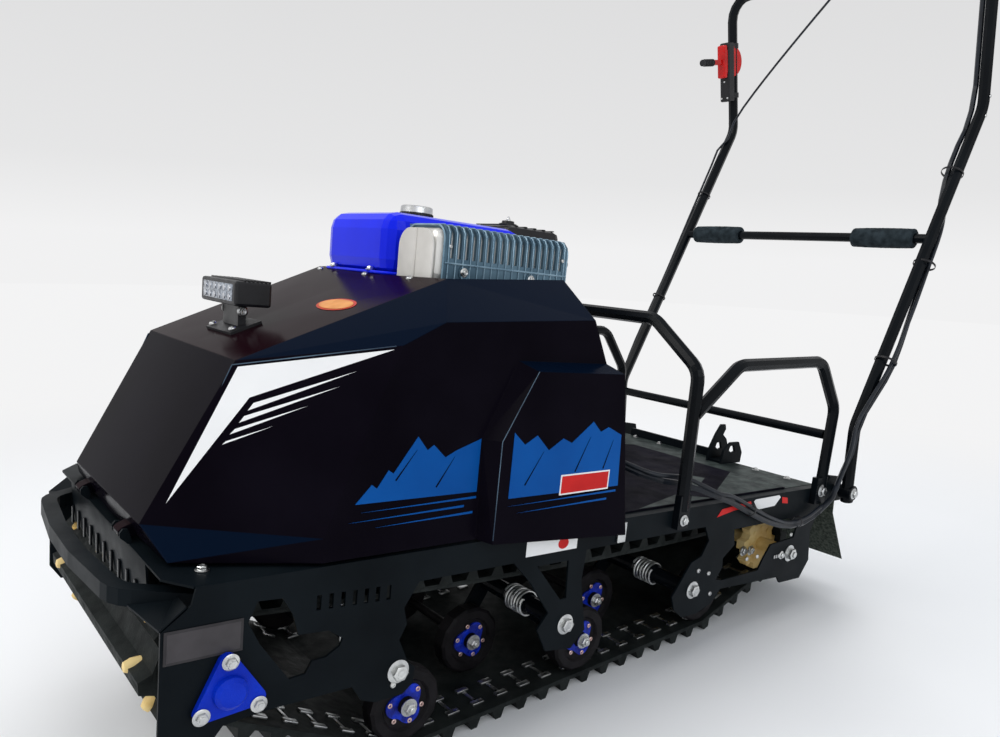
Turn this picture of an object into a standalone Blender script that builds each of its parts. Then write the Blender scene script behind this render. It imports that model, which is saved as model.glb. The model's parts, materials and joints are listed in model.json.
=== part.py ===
"""Motorized snow tow: a walk-behind tracked machine with an engine under a hinged hood.

The chassis is modelled level in its own frame: X forward from the middle of the side
plates, Y to the left, Z up from the deck's top face. One empty then tips it nose-up onto
its track, with the ground at height zero and the origin under the middle of its length.
"""
import math

import bmesh
import bpy
from mathutils import Matrix, Vector

# Driving dimensions, in metres and radians
BODY_WIDTH = 0.623
PLATE_T = 0.004
DECK_T = 0.003
SEAT = 0.0003
NOSE_UP = math.radians(4.14)
DECK_HEIGHT = 0.345
PLATE_Y = BODY_WIDTH / 2
INNER_Y = PLATE_Y - PLATE_T
EDGE_Y = INNER_Y - SEAT
FACE_Y = PLATE_Y + SEAT

# Track and running gear
TRACK_WIDTH = 0.500
BELT_T = 0.008
BELT_STEP = 12
SAG_STEPS = 9
LUG_H = 0.017
LUG_BASE = 0.026
LUG_TIP = 0.012
LUG_PITCH = 0.052
UPPER_SAG = 0.020
RUN_GAP = 0.0006
SPROCKET_R = 0.0615
SPROCKET_TEETH = 8
SPROCKET_T = 0.020
FRONT_SPROCKET_Y = TRACK_WIDTH / 2 - 0.050
REAR_SPROCKET_Y = TRACK_WIDTH / 2 - 0.024
SHAFT_R = 0.015
FRONT_AXLE = (0.636, -0.138)
REAR_AXLE = (-0.624, -0.145)
ROLLER_R = 0.0625
ROLLER_W = 0.032
ROLLER_EDGE = 0.005
HUB_STEP = 0.007
HUB_R = 0.018
SPACER_R = 0.012
OUTER_ROLLER_Y = TRACK_WIDTH / 2 - 0.021
INNER_ROLLER_Y = 0.118
AXLE_R = 0.008
BORE_GAP = 0.0003
PIVOTS = {"front": (0.390, -0.176), "middle": (0.062, -0.172), "rear": (-0.283, -0.172)}
OUTER_REACH = {"front": -0.058, "middle": -0.109, "rear": -0.122}
INNER_REACH = {"middle": 0.062, "rear": 0.090}
ARM_T = 0.006
ARM_W = 0.034
OUTER_ARM_Y = OUTER_ROLLER_Y - ROLLER_W / 2 - 0.051
INNER_ARM_Y = INNER_ROLLER_Y - ROLLER_W / 2 - 0.010
TUBE_R = 0.016
COIL_WIRE_R = 0.0025
COIL_R = TUBE_R + 2 * COIL_WIRE_R
COIL_PITCH = 0.0138
COIL_TURNS = 4
COIL_Y = OUTER_ARM_Y + ARM_T / 2 + COIL_TURNS * COIL_PITCH / 2 + 0.003
FLANGE_BOLT_R = 0.039
FLANGE_CORNER_R = 0.011
FLANGE_CAP_R = 0.022
FLANGE_T = 0.008

# Deck, nose and rear
PLATE_BACK = -0.721
DECK_FRONT = 0.706
DECK_CORNER = 0.037
RAIL_H = 0.045
SLOTS = 7
SLOT_PITCH = 0.0175
SLOT_W = 0.0065
SLOT_H = 0.021
APRON_Y = PLATE_Y - 0.1065
APRON_LOW = -0.068
APRON_LEAN = 0.083
BUMPER_W = 0.022
BUMPER_TOP = -0.025
BUMPER_X = 0.7515
SHELF_BACK = -0.797
SHELF_TOP = -0.033
EAR_Y = PLATE_Y + 0.0085
HITCH_Y = 0.055
RACK_TUBE_R = 0.0125
RACK_Y = PLATE_Y + 0.0065
CROSSBAR_R = 0.0105

# Hood and what it covers
HOOD_T = 0.003
HOOD_LIFT = 0.005
HOOD_FACE_Y = PLATE_Y + 0.0285
HOOD_PIVOT = (0.710, 0.012)
HINGE_PIN_R = 0.004
HINGE_Y = 0.110
HINGE_LUG_W = 0.024
HINGE_EAR_T = 0.004
CLEAR = 0.005
ENGINE_TOP = 0.372
GUARD_SLOTS = 17
GUARD_PITCH = 0.0145
GUARD_SLOT_W = 0.0065

# Handle and cables
HANDLE_TUBE_R = 0.0135
HANDLE_Y = PLATE_Y + 0.0385
HANDLE_PIVOT = (-0.766, -0.0075)
LEG_FOOT = (-0.748, 0.145)
LEG_BEND = (-1.105, 0.902)
LEG_TOP = (-1.015, 1.250)
HANDLE_BEND_R = 0.060
CABLE_R = 0.006
THIN_CABLE_R = 0.003
CABLE_STEP = 0.045


def new_collection(name):
    """A collection linked to the scene."""
    group = bpy.data.collections.new(name)
    bpy.context.scene.collection.children.link(group)
    return group


def material(name, colour, roughness, metallic=0.0):
    """A Principled material of one colour."""
    mat = bpy.data.materials.new(name)
    mat.use_nodes = True
    shader = mat.node_tree.nodes["Principled BSDF"]
    shader.inputs["Base Color"].default_value = (*colour, 1.0)
    shader.inputs["Roughness"].default_value = roughness
    shader.inputs["Metallic"].default_value = metallic
    return mat


for old in list(bpy.data.objects):
    bpy.data.objects.remove(old)
PARTS = new_collection("motorized_snow_tow")

FRAME_BLACK = material("frame_black", (0.018, 0.024, 0.030), 0.40, 0.3)
TUBE_BLACK = material("tube_black", (0.012, 0.014, 0.018), 0.25, 0.3)
HOOD_BLACK = material("hood_black", (0.030, 0.020, 0.030), 0.28)
RUBBER = material("rubber", (0.020, 0.022, 0.024), 0.75)
TYRE = material("roller_tyre", (0.022, 0.020, 0.022), 0.65)
SPROCKET_CREAM = material("sprocket_cream", (0.80, 0.66, 0.36), 0.5)
BLUE = material("cast_blue", (0.02, 0.12, 0.80), 0.35)
TANK_BLUE = material("tank_blue", (0.01, 0.03, 0.75), 0.18)
STEEL = material("zinc_steel", (0.62, 0.63, 0.62), 0.35, 0.9)
ENGINE_GREY = material("engine_grey", (0.10, 0.10, 0.11), 0.5, 0.4)
MUFFLER_GREY = material("muffler_grey", (0.62, 0.60, 0.58), 0.4, 0.7)
GUARD_STEEL = material("guard_steel", (0.28, 0.38, 0.44), 0.35, 0.8)
BLACK_PLASTIC = material("black_plastic", (0.02, 0.02, 0.022), 0.45)
CABLE_BLACK = material("cable_black", (0.015, 0.015, 0.017), 0.5)
MAT_BLACK = material("deck_mat", (0.025, 0.022, 0.035), 0.6)
RED_PLASTIC = material("red_plastic", (0.65, 0.01, 0.01), 0.25)
FOAM = material("grip_foam", (0.02, 0.03, 0.035), 0.8)

CHASSIS = bpy.data.objects.new("chassis_frame", None)
HANDLE = bpy.data.objects.new("handle_pivot", None)
HOOD = bpy.data.objects.new("hood_pivot", None)
for empty in (CHASSIS, HANDLE, HOOD):
    PARTS.objects.link(empty)
for empty, pivot in ((HANDLE, HANDLE_PIVOT), (HOOD, HOOD_PIVOT)):
    empty.parent = CHASSIS
    empty.location = (pivot[0], 0.0, pivot[1])


def add(name, mesh, mat=None, parent=None):
    """Link a mesh given in chassis coordinates, its origin on its parent's axis."""
    obj = bpy.data.objects.new(name, mesh)
    PARTS.objects.link(obj)
    carrier = parent or CHASSIS
    if carrier is not CHASSIS:
        mesh.transform(Matrix.Translation(-carrier.location))
    obj.parent = carrier
    mesh.materials.clear()
    if mat:
        mesh.materials.append(mat)
    return obj


def finish_mesh(bm, sharp=math.radians(35)):
    """Turn a bmesh into a mesh with smooth round faces and sharp corners."""
    mesh = bpy.data.meshes.new("mesh")
    bm.to_mesh(mesh)
    bm.free()
    mesh.shade_smooth()
    mesh.set_sharp_from_angle(angle=sharp)
    return mesh


def bake(obj):
    """The evaluated mesh of a temporary object, welded and in chassis coordinates."""
    bpy.context.view_layer.update()
    graph = bpy.context.evaluated_depsgraph_get()
    mesh = bpy.data.meshes.new_from_object(obj.evaluated_get(graph))
    mesh.transform(obj.matrix_world)
    data = obj.data
    bpy.data.objects.remove(obj)
    if isinstance(data, bpy.types.Curve):
        bpy.data.curves.remove(data)
    bm = bmesh.new()
    bm.from_mesh(mesh)
    bmesh.ops.remove_doubles(bm, verts=bm.verts, dist=1e-5)
    bmesh.ops.recalc_face_normals(bm, faces=bm.faces)
    return finish_mesh(bm)


def temporary(data):
    """An object that lives only until it is baked."""
    obj = bpy.data.objects.new("temporary", data)
    PARTS.objects.link(obj)
    return obj


def box(low, high, bevel=0.0, steps=2):
    """A box between two corners, its edges rounded if a bevel is given."""
    bm = bmesh.new()
    bmesh.ops.create_cube(bm, size=1.0)
    size = Vector(high) - Vector(low)
    middle = (Vector(high) + Vector(low)) / 2
    bmesh.ops.scale(bm, vec=size, verts=bm.verts)
    bmesh.ops.translate(bm, vec=middle, verts=bm.verts)
    if bevel:
        bmesh.ops.bevel(bm, geom=bm.edges, offset=bevel, segments=steps, profile=0.5,
                        affect="EDGES")
    return finish_mesh(bm)


def rod(start, end, radius, segments=16):
    """A round bar between two points."""
    bm = bmesh.new()
    start = Vector(start)
    along = Vector(end) - start
    bmesh.ops.create_cone(bm, cap_ends=True, segments=segments, radius1=radius, radius2=radius,
                          depth=along.length)
    turn = along.to_track_quat("Z", "Y").to_matrix().to_4x4()
    bm.transform(Matrix.Translation(start + along / 2) @ turn)
    return finish_mesh(bm)


def slab(outline, low, high, holes=(), plane="XZ"):
    """A flat outline with holes, extruded along Y (plane XZ), Z (XY) or X (YZ)."""
    curve = bpy.data.curves.new("outline", "CURVE")
    curve.dimensions = "2D"
    curve.fill_mode = "BOTH"
    curve.extrude = (high - low) / 2
    for points in (outline, *holes):
        spline = curve.splines.new("POLY")
        spline.points.add(len(points) - 1)
        for target, point in zip(spline.points, points):
            target.co = (point[0], point[1], 0.0, 1.0)
        spline.use_cyclic_u = True
    obj = temporary(curve)
    middle = (low + high) / 2
    places = {
        "XZ": ((0.0, middle, 0.0), (math.pi / 2, 0.0, 0.0)),
        "XY": ((0.0, 0.0, middle), (0.0, 0.0, 0.0)),
        "YZ": ((middle, 0.0, 0.0), (math.pi / 2, 0.0, math.pi / 2)),
    }
    obj.location, obj.rotation_euler = places[plane]
    return bake(obj)


def tube(route, radius, sides=2, cyclic=False):
    """A round tube along a list of points."""
    curve = bpy.data.curves.new("route", "CURVE")
    curve.dimensions = "3D"
    curve.bevel_depth = radius
    curve.bevel_resolution = sides
    curve.use_fill_caps = True
    spline = curve.splines.new("POLY")
    spline.points.add(len(route) - 1)
    for target, point in zip(spline.points, route):
        target.co = (*point, 1.0)
    spline.use_cyclic_u = cyclic
    return bake(temporary(curve))


def turned(profile, axis, segments=16):
    """A profile of (y, radius) pairs turned about an axis along Y through (x, z)."""
    mesh = bpy.data.meshes.new("profile")
    verts = [(radius, 0.0, along) for along, radius in profile]
    mesh.from_pydata(verts, [(i, i + 1) for i in range(len(verts) - 1)], [])
    obj = temporary(mesh)
    screw = obj.modifiers.new("screw", "SCREW")
    screw.steps = segments
    screw.render_steps = segments
    screw.use_merge_vertices = True
    screw.merge_threshold = 0.00005
    obj.location = (axis[0], 0.0, axis[1])
    obj.rotation_euler = (-math.pi / 2, 0.0, 0.0)
    return bake(obj)


def combine(meshes, operation="UNION"):
    """The first mesh joined with, or cut by, the others."""
    base = temporary(meshes[0])
    others = [temporary(mesh) for mesh in meshes[1:]]
    for other in others:
        step = base.modifiers.new("step", "BOOLEAN")
        step.operation = operation
        step.object = other
    result = bake(base)
    for other in others:
        bpy.data.objects.remove(other)
    return result


def mirrored(mesh):
    """A copy reflected left to right."""
    copy = mesh.copy()
    copy.transform(Matrix.Scale(-1.0, 4, Vector((0.0, 1.0, 0.0))))
    copy.flip_normals()
    return copy


def rounded(points, radius, steps=5):
    """A polyline with each inner corner replaced by an arc."""
    corners = [Vector(point) for point in points]
    route = [corners[0]]
    for before, corner, after in zip(corners, corners[1:], corners[2:]):
        into = (before - corner).normalized()
        out = (after - corner).normalized()
        half = into.angle(out) / 2
        reach = radius / math.tan(half)
        centre = corner + (into + out).normalized() * (radius / math.sin(half))
        start = corner + into * reach - centre
        end = corner + out * reach - centre
        sweep = start.angle(end)
        for step in range(steps + 1):
            share = step / steps
            blend = math.sin((1 - share) * sweep) * start + math.sin(share * sweep) * end
            route.append(centre + blend / math.sin(sweep))
    route.append(corners[-1])
    return route


def smooth_route(points, step):
    """Evenly spaced points read from a smooth curve through the given ones."""
    knots = [Vector(point) for point in points]
    knots = [2 * knots[0] - knots[1], *knots, 2 * knots[-1] - knots[-2]]
    fine = []
    for p0, p1, p2, p3 in zip(knots, knots[1:], knots[2:], knots[3:]):
        for part in range(16):
            t = part / 16
            fine.append(0.5 * (2 * p1 + (p2 - p0) * t + (2 * p0 - 5 * p1 + 4 * p2 - p3) * t**2
                               + (3 * p1 - p0 - 3 * p2 + p3) * t**3))
    fine.append(knots[-2])
    route = [fine[0]]
    for point in fine[1:-1]:
        if (point - route[-1]).length >= step:
            route.append(point)
    route.append(fine[-1])
    return route


# Where the rollers stand: each arm reaches along the ground from its pivot, and down to the
# line of axle centres
ALONG = Vector((math.cos(NOSE_UP), -math.sin(NOSE_UP)))
NORMAL = Vector((math.sin(NOSE_UP), math.cos(NOSE_UP)))
AXLE_HEIGHT = LUG_H + BELT_T + RUN_GAP + ROLLER_R


def axle_place(pivot, reach):
    """The axle centre of an arm that reaches behind (negative) or ahead of its pivot."""
    point = Vector(pivot)
    drop = (point - Vector((0.0, -DECK_HEIGHT))).dot(NORMAL) - AXLE_HEIGHT
    return point + ALONG * reach - NORMAL * drop


OUTER_AXLES = {key: axle_place(PIVOTS[key], reach) for key, reach in OUTER_REACH.items()}
INNER_AXLES = {key: axle_place(PIVOTS[key], reach) for key, reach in INNER_REACH.items()}


def side_plate():
    """The left side plate: top rail, front web, two brackets and the rear block."""
    outline = [
        (0.678, 0.0), (0.683, -0.022), (0.717, -0.049), (0.717, -0.180), (0.700, -0.205),
        (0.655, -0.205), (0.640, -0.186), (0.589, -0.181), (0.463, -0.181), (0.447, -0.205),
        (0.425, -0.214), (0.380, -0.214), (0.362, -0.200), (0.362, -0.175), (0.374, -0.166),
        (0.392, -0.128), (0.381, -0.106), (0.388, -0.081), (0.366, -RAIL_H),
        (0.190, -RAIL_H), (0.150, -0.085), (0.104, -0.144), (0.125, -0.170), (0.101, -0.212),
        (0.042, -0.220), (0.012, -0.192), (0.021, -0.155), (0.034, -0.100), (0.030, -RAIL_H),
        (-0.298, -RAIL_H), (-0.316, -0.075), (-0.299, -0.105), (-0.269, -0.114),
        (-0.240, -0.153), (-0.222, -0.176), (-0.234, -0.205), (-0.262, -0.225),
        (-0.310, -0.225), (-0.352, -0.212), (-0.379, -0.186), (-0.590, -0.196),
        (-0.603, -0.211), (-0.685, -0.213), (-0.714, -0.174), (-0.700, -0.105),
        (-0.721, -0.060), (-0.721, 0.0),
    ]
    window = [
        (0.614, -0.057), (0.603, -0.031), (0.571, -0.033), (0.556, -0.057), (0.547, -0.087),
        (0.504, -0.090), (0.482, -0.106), (0.486, -0.116), (0.505, -0.127), (0.525, -0.128),
        (0.534, -0.144), (0.556, -0.146), (0.598, -0.088),
    ]
    bracket_hole = [(0.140, -0.058), (0.080, -0.125), (0.066, -0.125), (0.070, -0.058)]
    rear_window = [
        (-0.397, -0.062), (-0.406, -0.096), (-0.372, -0.120), (-0.374, -0.140),
        (-0.357, -0.163), (-0.380, -0.168), (-0.508, -0.167), (-0.523, -0.142),
        (-0.544, -0.115), (-0.633, -0.110), (-0.640, -0.085), (-0.600, -0.062),
    ]
    slots = []
    for index in range(SLOTS):
        x = 0.412 + index * SLOT_PITCH
        low = -0.0635 + index * 0.0008
        slots.append([(x, low), (x + SLOT_W, low), (x + SLOT_W, low + SLOT_H), (x, low + SLOT_H)])
    return slab(outline, INNER_Y, PLATE_Y, [window, bracket_hole, rear_window, *slots])


def make_side_plates():
    """Both side plates."""
    left = side_plate()
    add("side_plate_left", left, FRAME_BLACK)
    add("side_plate_right", mirrored(left), FRAME_BLACK)


def make_deck():
    """The deck, its nose bent down as an apron, with the ears and pins of the hood's hinges."""
    shoulder = EDGE_Y - DECK_CORNER
    outline = [(PLATE_BACK, -EDGE_Y), (0.680, -EDGE_Y), (DECK_FRONT, -shoulder),
               (DECK_FRONT, shoulder), (0.680, EDGE_Y), (PLATE_BACK, EDGE_Y)]
    apron_face = DECK_FRONT - 0.0005
    apron = box((apron_face - DECK_T, -APRON_Y, APRON_LOW), (apron_face, APRON_Y, -DECK_T / 2))
    lean = Matrix.Identity(4)
    lean[0][2] = APRON_LEAN
    apron.transform(lean)
    pieces = [slab(outline, -DECK_T, 0.0, plane="XY"), apron]
    x, z = HOOD_PIVOT
    ear = [(x - 0.0095, -0.0015), (x - 0.0045, -0.0015), (x + 0.006, z - 0.004),
           (x + 0.0065, z + 0.002), (x + 0.0025, z + 0.0075), (x - 0.0035, z + 0.007),
           (x - 0.0065, z)]
    inner = HINGE_LUG_W / 2 + CLEAR
    for sign in (1, -1):
        middle = sign * HINGE_Y
        for low in (middle - inner - HINGE_EAR_T, middle + inner):
            pieces.append(slab(ear, low, low + HINGE_EAR_T))
        half = inner + HINGE_EAR_T * 0.75
        pieces.append(rod((x, middle - half, z), (x, middle + half, z), HINGE_PIN_R, 12))
    add("deck", combine(pieces), FRAME_BLACK)


def square_bar(route, width):
    """A square tube along a level route."""
    curve = bpy.data.curves.new("bar", "CURVE")
    curve.dimensions = "3D"
    curve.bevel_mode = "OBJECT"
    section = bpy.data.curves.new("section", "CURVE")
    section.dimensions = "2D"
    ring = section.splines.new("POLY")
    ring.points.add(3)
    half = width / 2
    for target, corner in zip(ring.points, ((-1, -1), (1, -1), (1, 1), (-1, 1))):
        target.co = (corner[0] * half, corner[1] * half, 0.0, 1.0)
    ring.use_cyclic_u = True
    shape = temporary(section)
    curve.bevel_object = shape
    curve.use_fill_caps = True
    curve.twist_mode = "Z_UP"
    spline = curve.splines.new("POLY")
    spline.points.add(len(route) - 1)
    for target, point in zip(spline.points, route):
        target.co = (*point, 1.0)
    bar = bake(temporary(curve))
    bpy.data.objects.remove(shape)
    return bar


def thick_quad(corners, thickness):
    """A thin plate under four corners, given in order round its edge."""
    bm = bmesh.new()
    top = [bm.verts.new(corner) for corner in corners]
    low = [bm.verts.new(Vector(corner) - Vector((0.0, 0.0, thickness))) for corner in corners]
    bm.faces.new(top)
    bm.faces.new(list(reversed(low)))
    for index in range(4):
        after = (index + 1) % 4
        bm.faces.new((top[after], top[index], low[index], low[after]))
    bmesh.ops.triangulate(bm, faces=bm.faces)
    bmesh.ops.recalc_face_normals(bm, faces=bm.faces)
    return finish_mesh(bm)


def make_bumper():
    """The square tube round the nose, with a gusset and an end tab on each side."""
    half = BUMPER_W / 2
    z = BUMPER_TOP - half
    end_x = BUMPER_X - 0.102
    end_y = PLATE_Y - 0.0415
    left = [(end_x, end_y, z), (BUMPER_X - 0.0127, end_y - 0.063, z), (BUMPER_X, 0.060, z)]
    route = rounded(left + [(x, -y, h) for x, y, h in reversed(left)], 0.050, 3)
    pieces = [square_bar(route, BUMPER_W)]
    for side in (1, -1):
        low, high = sorted((side * (end_y - 0.008), side * EDGE_Y))
        pieces.append(box((end_x - 0.008, low, z - 0.0095), (end_x + 0.016, high, z + 0.0095)))
        edge = side * (PLATE_Y - SEAT)
        gusset = [(0.6890, edge, -0.0215), (0.7185, edge, -0.0460),
                  (0.733, side * (end_y - 0.062), -0.044), (0.680, side * (end_y - 0.024), -0.032)]
        pieces.append(thick_quad(gusset, 0.0025))
    add("front_bumper", combine(pieces), FRAME_BLACK)


def belt_loop():
    """Points and outward normals of the belt's inner face, front sprocket first."""
    circles = [
        (Vector(FRONT_AXLE), SPROCKET_R + RUN_GAP),
        (OUTER_AXLES["front"], ROLLER_R + RUN_GAP),
        (OUTER_AXLES["rear"], ROLLER_R + RUN_GAP),
        (Vector(REAR_AXLE), SPROCKET_R + RUN_GAP),
    ]
    spans = []
    for (c0, r0), (c1, r1) in zip(circles, circles[1:] + circles[:1]):
        line = c1 - c0
        lean = math.asin((r0 - r1) / line.length)
        spans.append(math.atan2(line.y, line.x) + math.pi / 2 - lean)
    loop = []
    for index, (centre, radius) in enumerate(circles):
        start = spans[index - 1]
        sweep = (start - spans[index]) % (2 * math.pi)
        steps = max(1, math.ceil(sweep / math.radians(BELT_STEP)))
        grow = 1 / math.cos(sweep / steps / 2)
        for step in range(steps + 1):
            angle = start - sweep * step / steps
            normal = Vector((math.cos(angle), math.sin(angle)))
            loop.append((centre + normal * radius * (grow if 0 < step < steps else 1), normal))
    first, last = loop[0], loop[-1]
    for step in range(1, SAG_STEPS):
        share = step / SAG_STEPS
        sag = UPPER_SAG * 4 * share * (1 - share)
        point = last[0].lerp(first[0], share) - first[1] * sag
        loop.append((point, first[1]))
    return loop


def belt_point(loop, lengths, distance, offset):
    """The place at a distance round the loop, lifted outwards by an offset."""
    distance %= lengths[-1]
    index = next(i for i, length in enumerate(lengths[1:]) if distance <= length)
    share = (distance - lengths[index]) / (lengths[index + 1] - lengths[index])
    here = loop[index]
    after = loop[(index + 1) % len(loop)]
    normal = here[1].lerp(after[1], share).normalized()
    return here[0].lerp(after[0], share) + normal * offset


def make_track():
    """The rubber belt as one loop with its lugs in the outline."""
    loop = belt_loop()
    lengths = [0.0]
    for here, after in zip(loop, loop[1:] + loop[:1]):
        lengths.append(lengths[-1] + (after[0] - here[0]).length)
    count = round(lengths[-1] / LUG_PITCH)
    pitch = lengths[-1] / count
    outer = []
    for index in range(count):
        middle = index * pitch
        for shift, lift in ((-LUG_BASE, 0.0), (-LUG_TIP, LUG_H), (LUG_TIP, LUG_H), (LUG_BASE, 0.0)):
            outer.append(belt_point(loop, lengths, middle + shift / 2, BELT_T + lift))
    inner = [point for point, normal in loop]
    half = TRACK_WIDTH / 2
    add("track", slab(outer, -half, half, [inner]), RUBBER)


def sprocket(axle, y):
    """A toothed wheel whose teeth reach the belt's inner face."""
    outline = []
    step = 2 * math.pi / SPROCKET_TEETH
    for tooth in range(SPROCKET_TEETH):
        for share, radius in ((-0.20, 1.0), (0.20, 1.0), (0.34, 0.80), (0.66, 0.80)):
            angle = -(tooth + share) * step
            outline.append((axle[0] + SPROCKET_R * radius * math.cos(angle),
                            axle[1] + SPROCKET_R * radius * math.sin(angle)))
    return slab(outline, y - SPROCKET_T / 2, y + SPROCKET_T / 2)


def make_shafts():
    """The drive shaft in front and the tensioning shaft behind, each with two sprockets."""
    for name, axle, y in (("drive_shaft", FRONT_AXLE, FRONT_SPROCKET_Y),
                          ("tension_shaft", REAR_AXLE, REAR_SPROCKET_Y)):
        bar = turned([(EDGE_Y, 0.0), (EDGE_Y, SHAFT_R), (-EDGE_Y, SHAFT_R), (-EDGE_Y, 0.0)], axle)
        add(name, combine([bar, sprocket(axle, y), sprocket(axle, -y)]), SPROCKET_CREAM)


def link(start, end, width, low, high, hole=None):
    """A flat arm with round ends, bored at its far end."""
    start, end = Vector(start), Vector(end)
    along = (end - start).normalized()
    side = Vector((-along.y, along.x))
    outline = []
    for centre, sign in ((end, 1), (start, -1)):
        for step in range(7):
            angle = math.pi * step / 6 - math.pi / 2
            reach = along * math.cos(angle) + side * math.sin(angle)
            outline.append(centre + reach * sign * width / 2)
    bm = bmesh.new()
    verts = [bm.verts.new((point.x, low, point.y)) for point in outline]
    cap = bm.faces.new(verts)
    lifted = bmesh.ops.extrude_face_region(bm, geom=[cap])["geom"]
    moved = [item for item in lifted if isinstance(item, bmesh.types.BMVert)]
    bmesh.ops.translate(bm, vec=(0.0, high - low, 0.0), verts=moved)
    bmesh.ops.recalc_face_normals(bm, faces=bm.faces)
    arm = finish_mesh(bm)
    if not hole:
        return arm
    bore = rod((end.x, low - 0.001, end.y), (end.x, high + 0.001, end.y),
               hole / math.cos(math.pi / 10), 10)
    return combine([arm, bore], "DIFFERENCE")


def coil(pivot, y):
    """A torsion coil wound on the pivot tube, its turns as ribs on a tight sleeve."""
    start = y + COIL_TURNS * COIL_PITCH / 2
    end = y - COIL_TURNS * COIL_PITCH / 2
    profile = [(start, TUBE_R - 0.002)]
    for turn in range(COIL_TURNS):
        top = start - turn * COIL_PITCH
        profile.append((top, COIL_R - COIL_WIRE_R))
        profile.append((top - COIL_PITCH / 2, COIL_R))
    profile.append((end, COIL_R - COIL_WIRE_R))
    profile.append((end, TUBE_R - 0.002))
    profile.append(profile[0])
    return turned(profile, pivot, 12)


def make_suspension():
    """Three cross tubes with trailing outer arms and coils, two also with leading arms."""
    bore = AXLE_R + BORE_GAP
    for key, pivot in PIVOTS.items():
        profile = [(EDGE_Y, 0.0), (EDGE_Y, TUBE_R), (-EDGE_Y, TUBE_R), (-EDGE_Y, 0.0)]
        pieces = [turned(profile, pivot)]
        arms = [(OUTER_ARM_Y, OUTER_AXLES[key])]
        if key in INNER_AXLES:
            arms.append((INNER_ARM_Y, INNER_AXLES[key]))
        for sign in (1, -1):
            for y, axle in arms:
                middle = sign * y
                low, high = middle - ARM_T / 2, middle + ARM_T / 2
                pieces.append(link(pivot, axle, ARM_W, low, high, bore))
            pieces.append(coil(pivot, sign * COIL_Y))
        add(f"suspension_{key}", combine(pieces), TUBE_BLACK)


def roller_profile(middle, sign):
    """The turned outline of a roller, from its stepped outer face to its inner face."""
    half = ROLLER_W / 2
    steps = [
        (half + HUB_STEP, HUB_R - 0.006), (half - ROLLER_EDGE, HUB_R - 0.002),
        (half - ROLLER_EDGE, ROLLER_R - 0.0225), (half, ROLLER_R - 0.0185),
        (half, ROLLER_R - ROLLER_EDGE), (half - 0.004, ROLLER_R),
        (0.004 - half, ROLLER_R), (-half, ROLLER_R - ROLLER_EDGE), (-half, SPACER_R),
    ]
    return [(middle + sign * along, radius) for along, radius in steps]


def make_rollers():
    """Six outer rollers on stub axles and two inner pairs on through axles."""
    for key, axle in OUTER_AXLES.items():
        for side, sign in (("left", 1), ("right", -1)):
            hub = sign * (OUTER_ARM_Y + ARM_T / 2 + SEAT)
            end = sign * (OUTER_ARM_Y - ARM_T / 2 - 0.006)
            outer = sign * (OUTER_ROLLER_Y + ROLLER_W / 2 + HUB_STEP)
            profile = [(outer, 0.0), *roller_profile(sign * OUTER_ROLLER_Y, sign),
                       (hub, SPACER_R), (hub, AXLE_R), (end, AXLE_R), (end, 0.0)]
            if sign < 0:
                profile.reverse()
            add(f"outer_roller_{key}_{side}", turned(profile, axle, 14), TYRE)
    for key, axle in INNER_AXLES.items():
        hub = INNER_ARM_Y + ARM_T / 2 + SEAT
        outer = INNER_ROLLER_Y + ROLLER_W / 2 + HUB_STEP
        half = [(outer, 0.0), *roller_profile(INNER_ROLLER_Y, 1), (hub, SPACER_R), (hub, AXLE_R)]
        profile = half + [(-along, radius) for along, radius in reversed(half)]
        add(f"inner_rollers_{key}", turned(profile, axle, 14), TYRE)


def make_flanges():
    """The blue three-bolt bearing flanges of the drive shaft."""
    centre = Vector(FRONT_AXLE)
    outline = []
    for corner in range(3):
        heading = math.radians(85 - 120 * corner)
        middle = centre + Vector((math.cos(heading), math.sin(heading))) * FLANGE_BOLT_R
        for step in range(5):
            angle = heading + math.radians(60 - 30 * step)
            outline.append(middle + Vector((math.cos(angle), math.sin(angle))) * FLANGE_CORNER_R)
    high = FACE_Y + FLANGE_T
    cap = turned([(high + 0.010, 0.0), (high + 0.010, FLANGE_CAP_R - 0.006),
                  (high + 0.006, FLANGE_CAP_R - 0.001), (high - 0.002, FLANGE_CAP_R),
                  (high - 0.002, 0.0)], centre)
    left = combine([slab(outline, FACE_Y, high), cap])
    add("bearing_flange_left", left, BLUE)
    add("bearing_flange_right", mirrored(left), BLUE)


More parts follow.
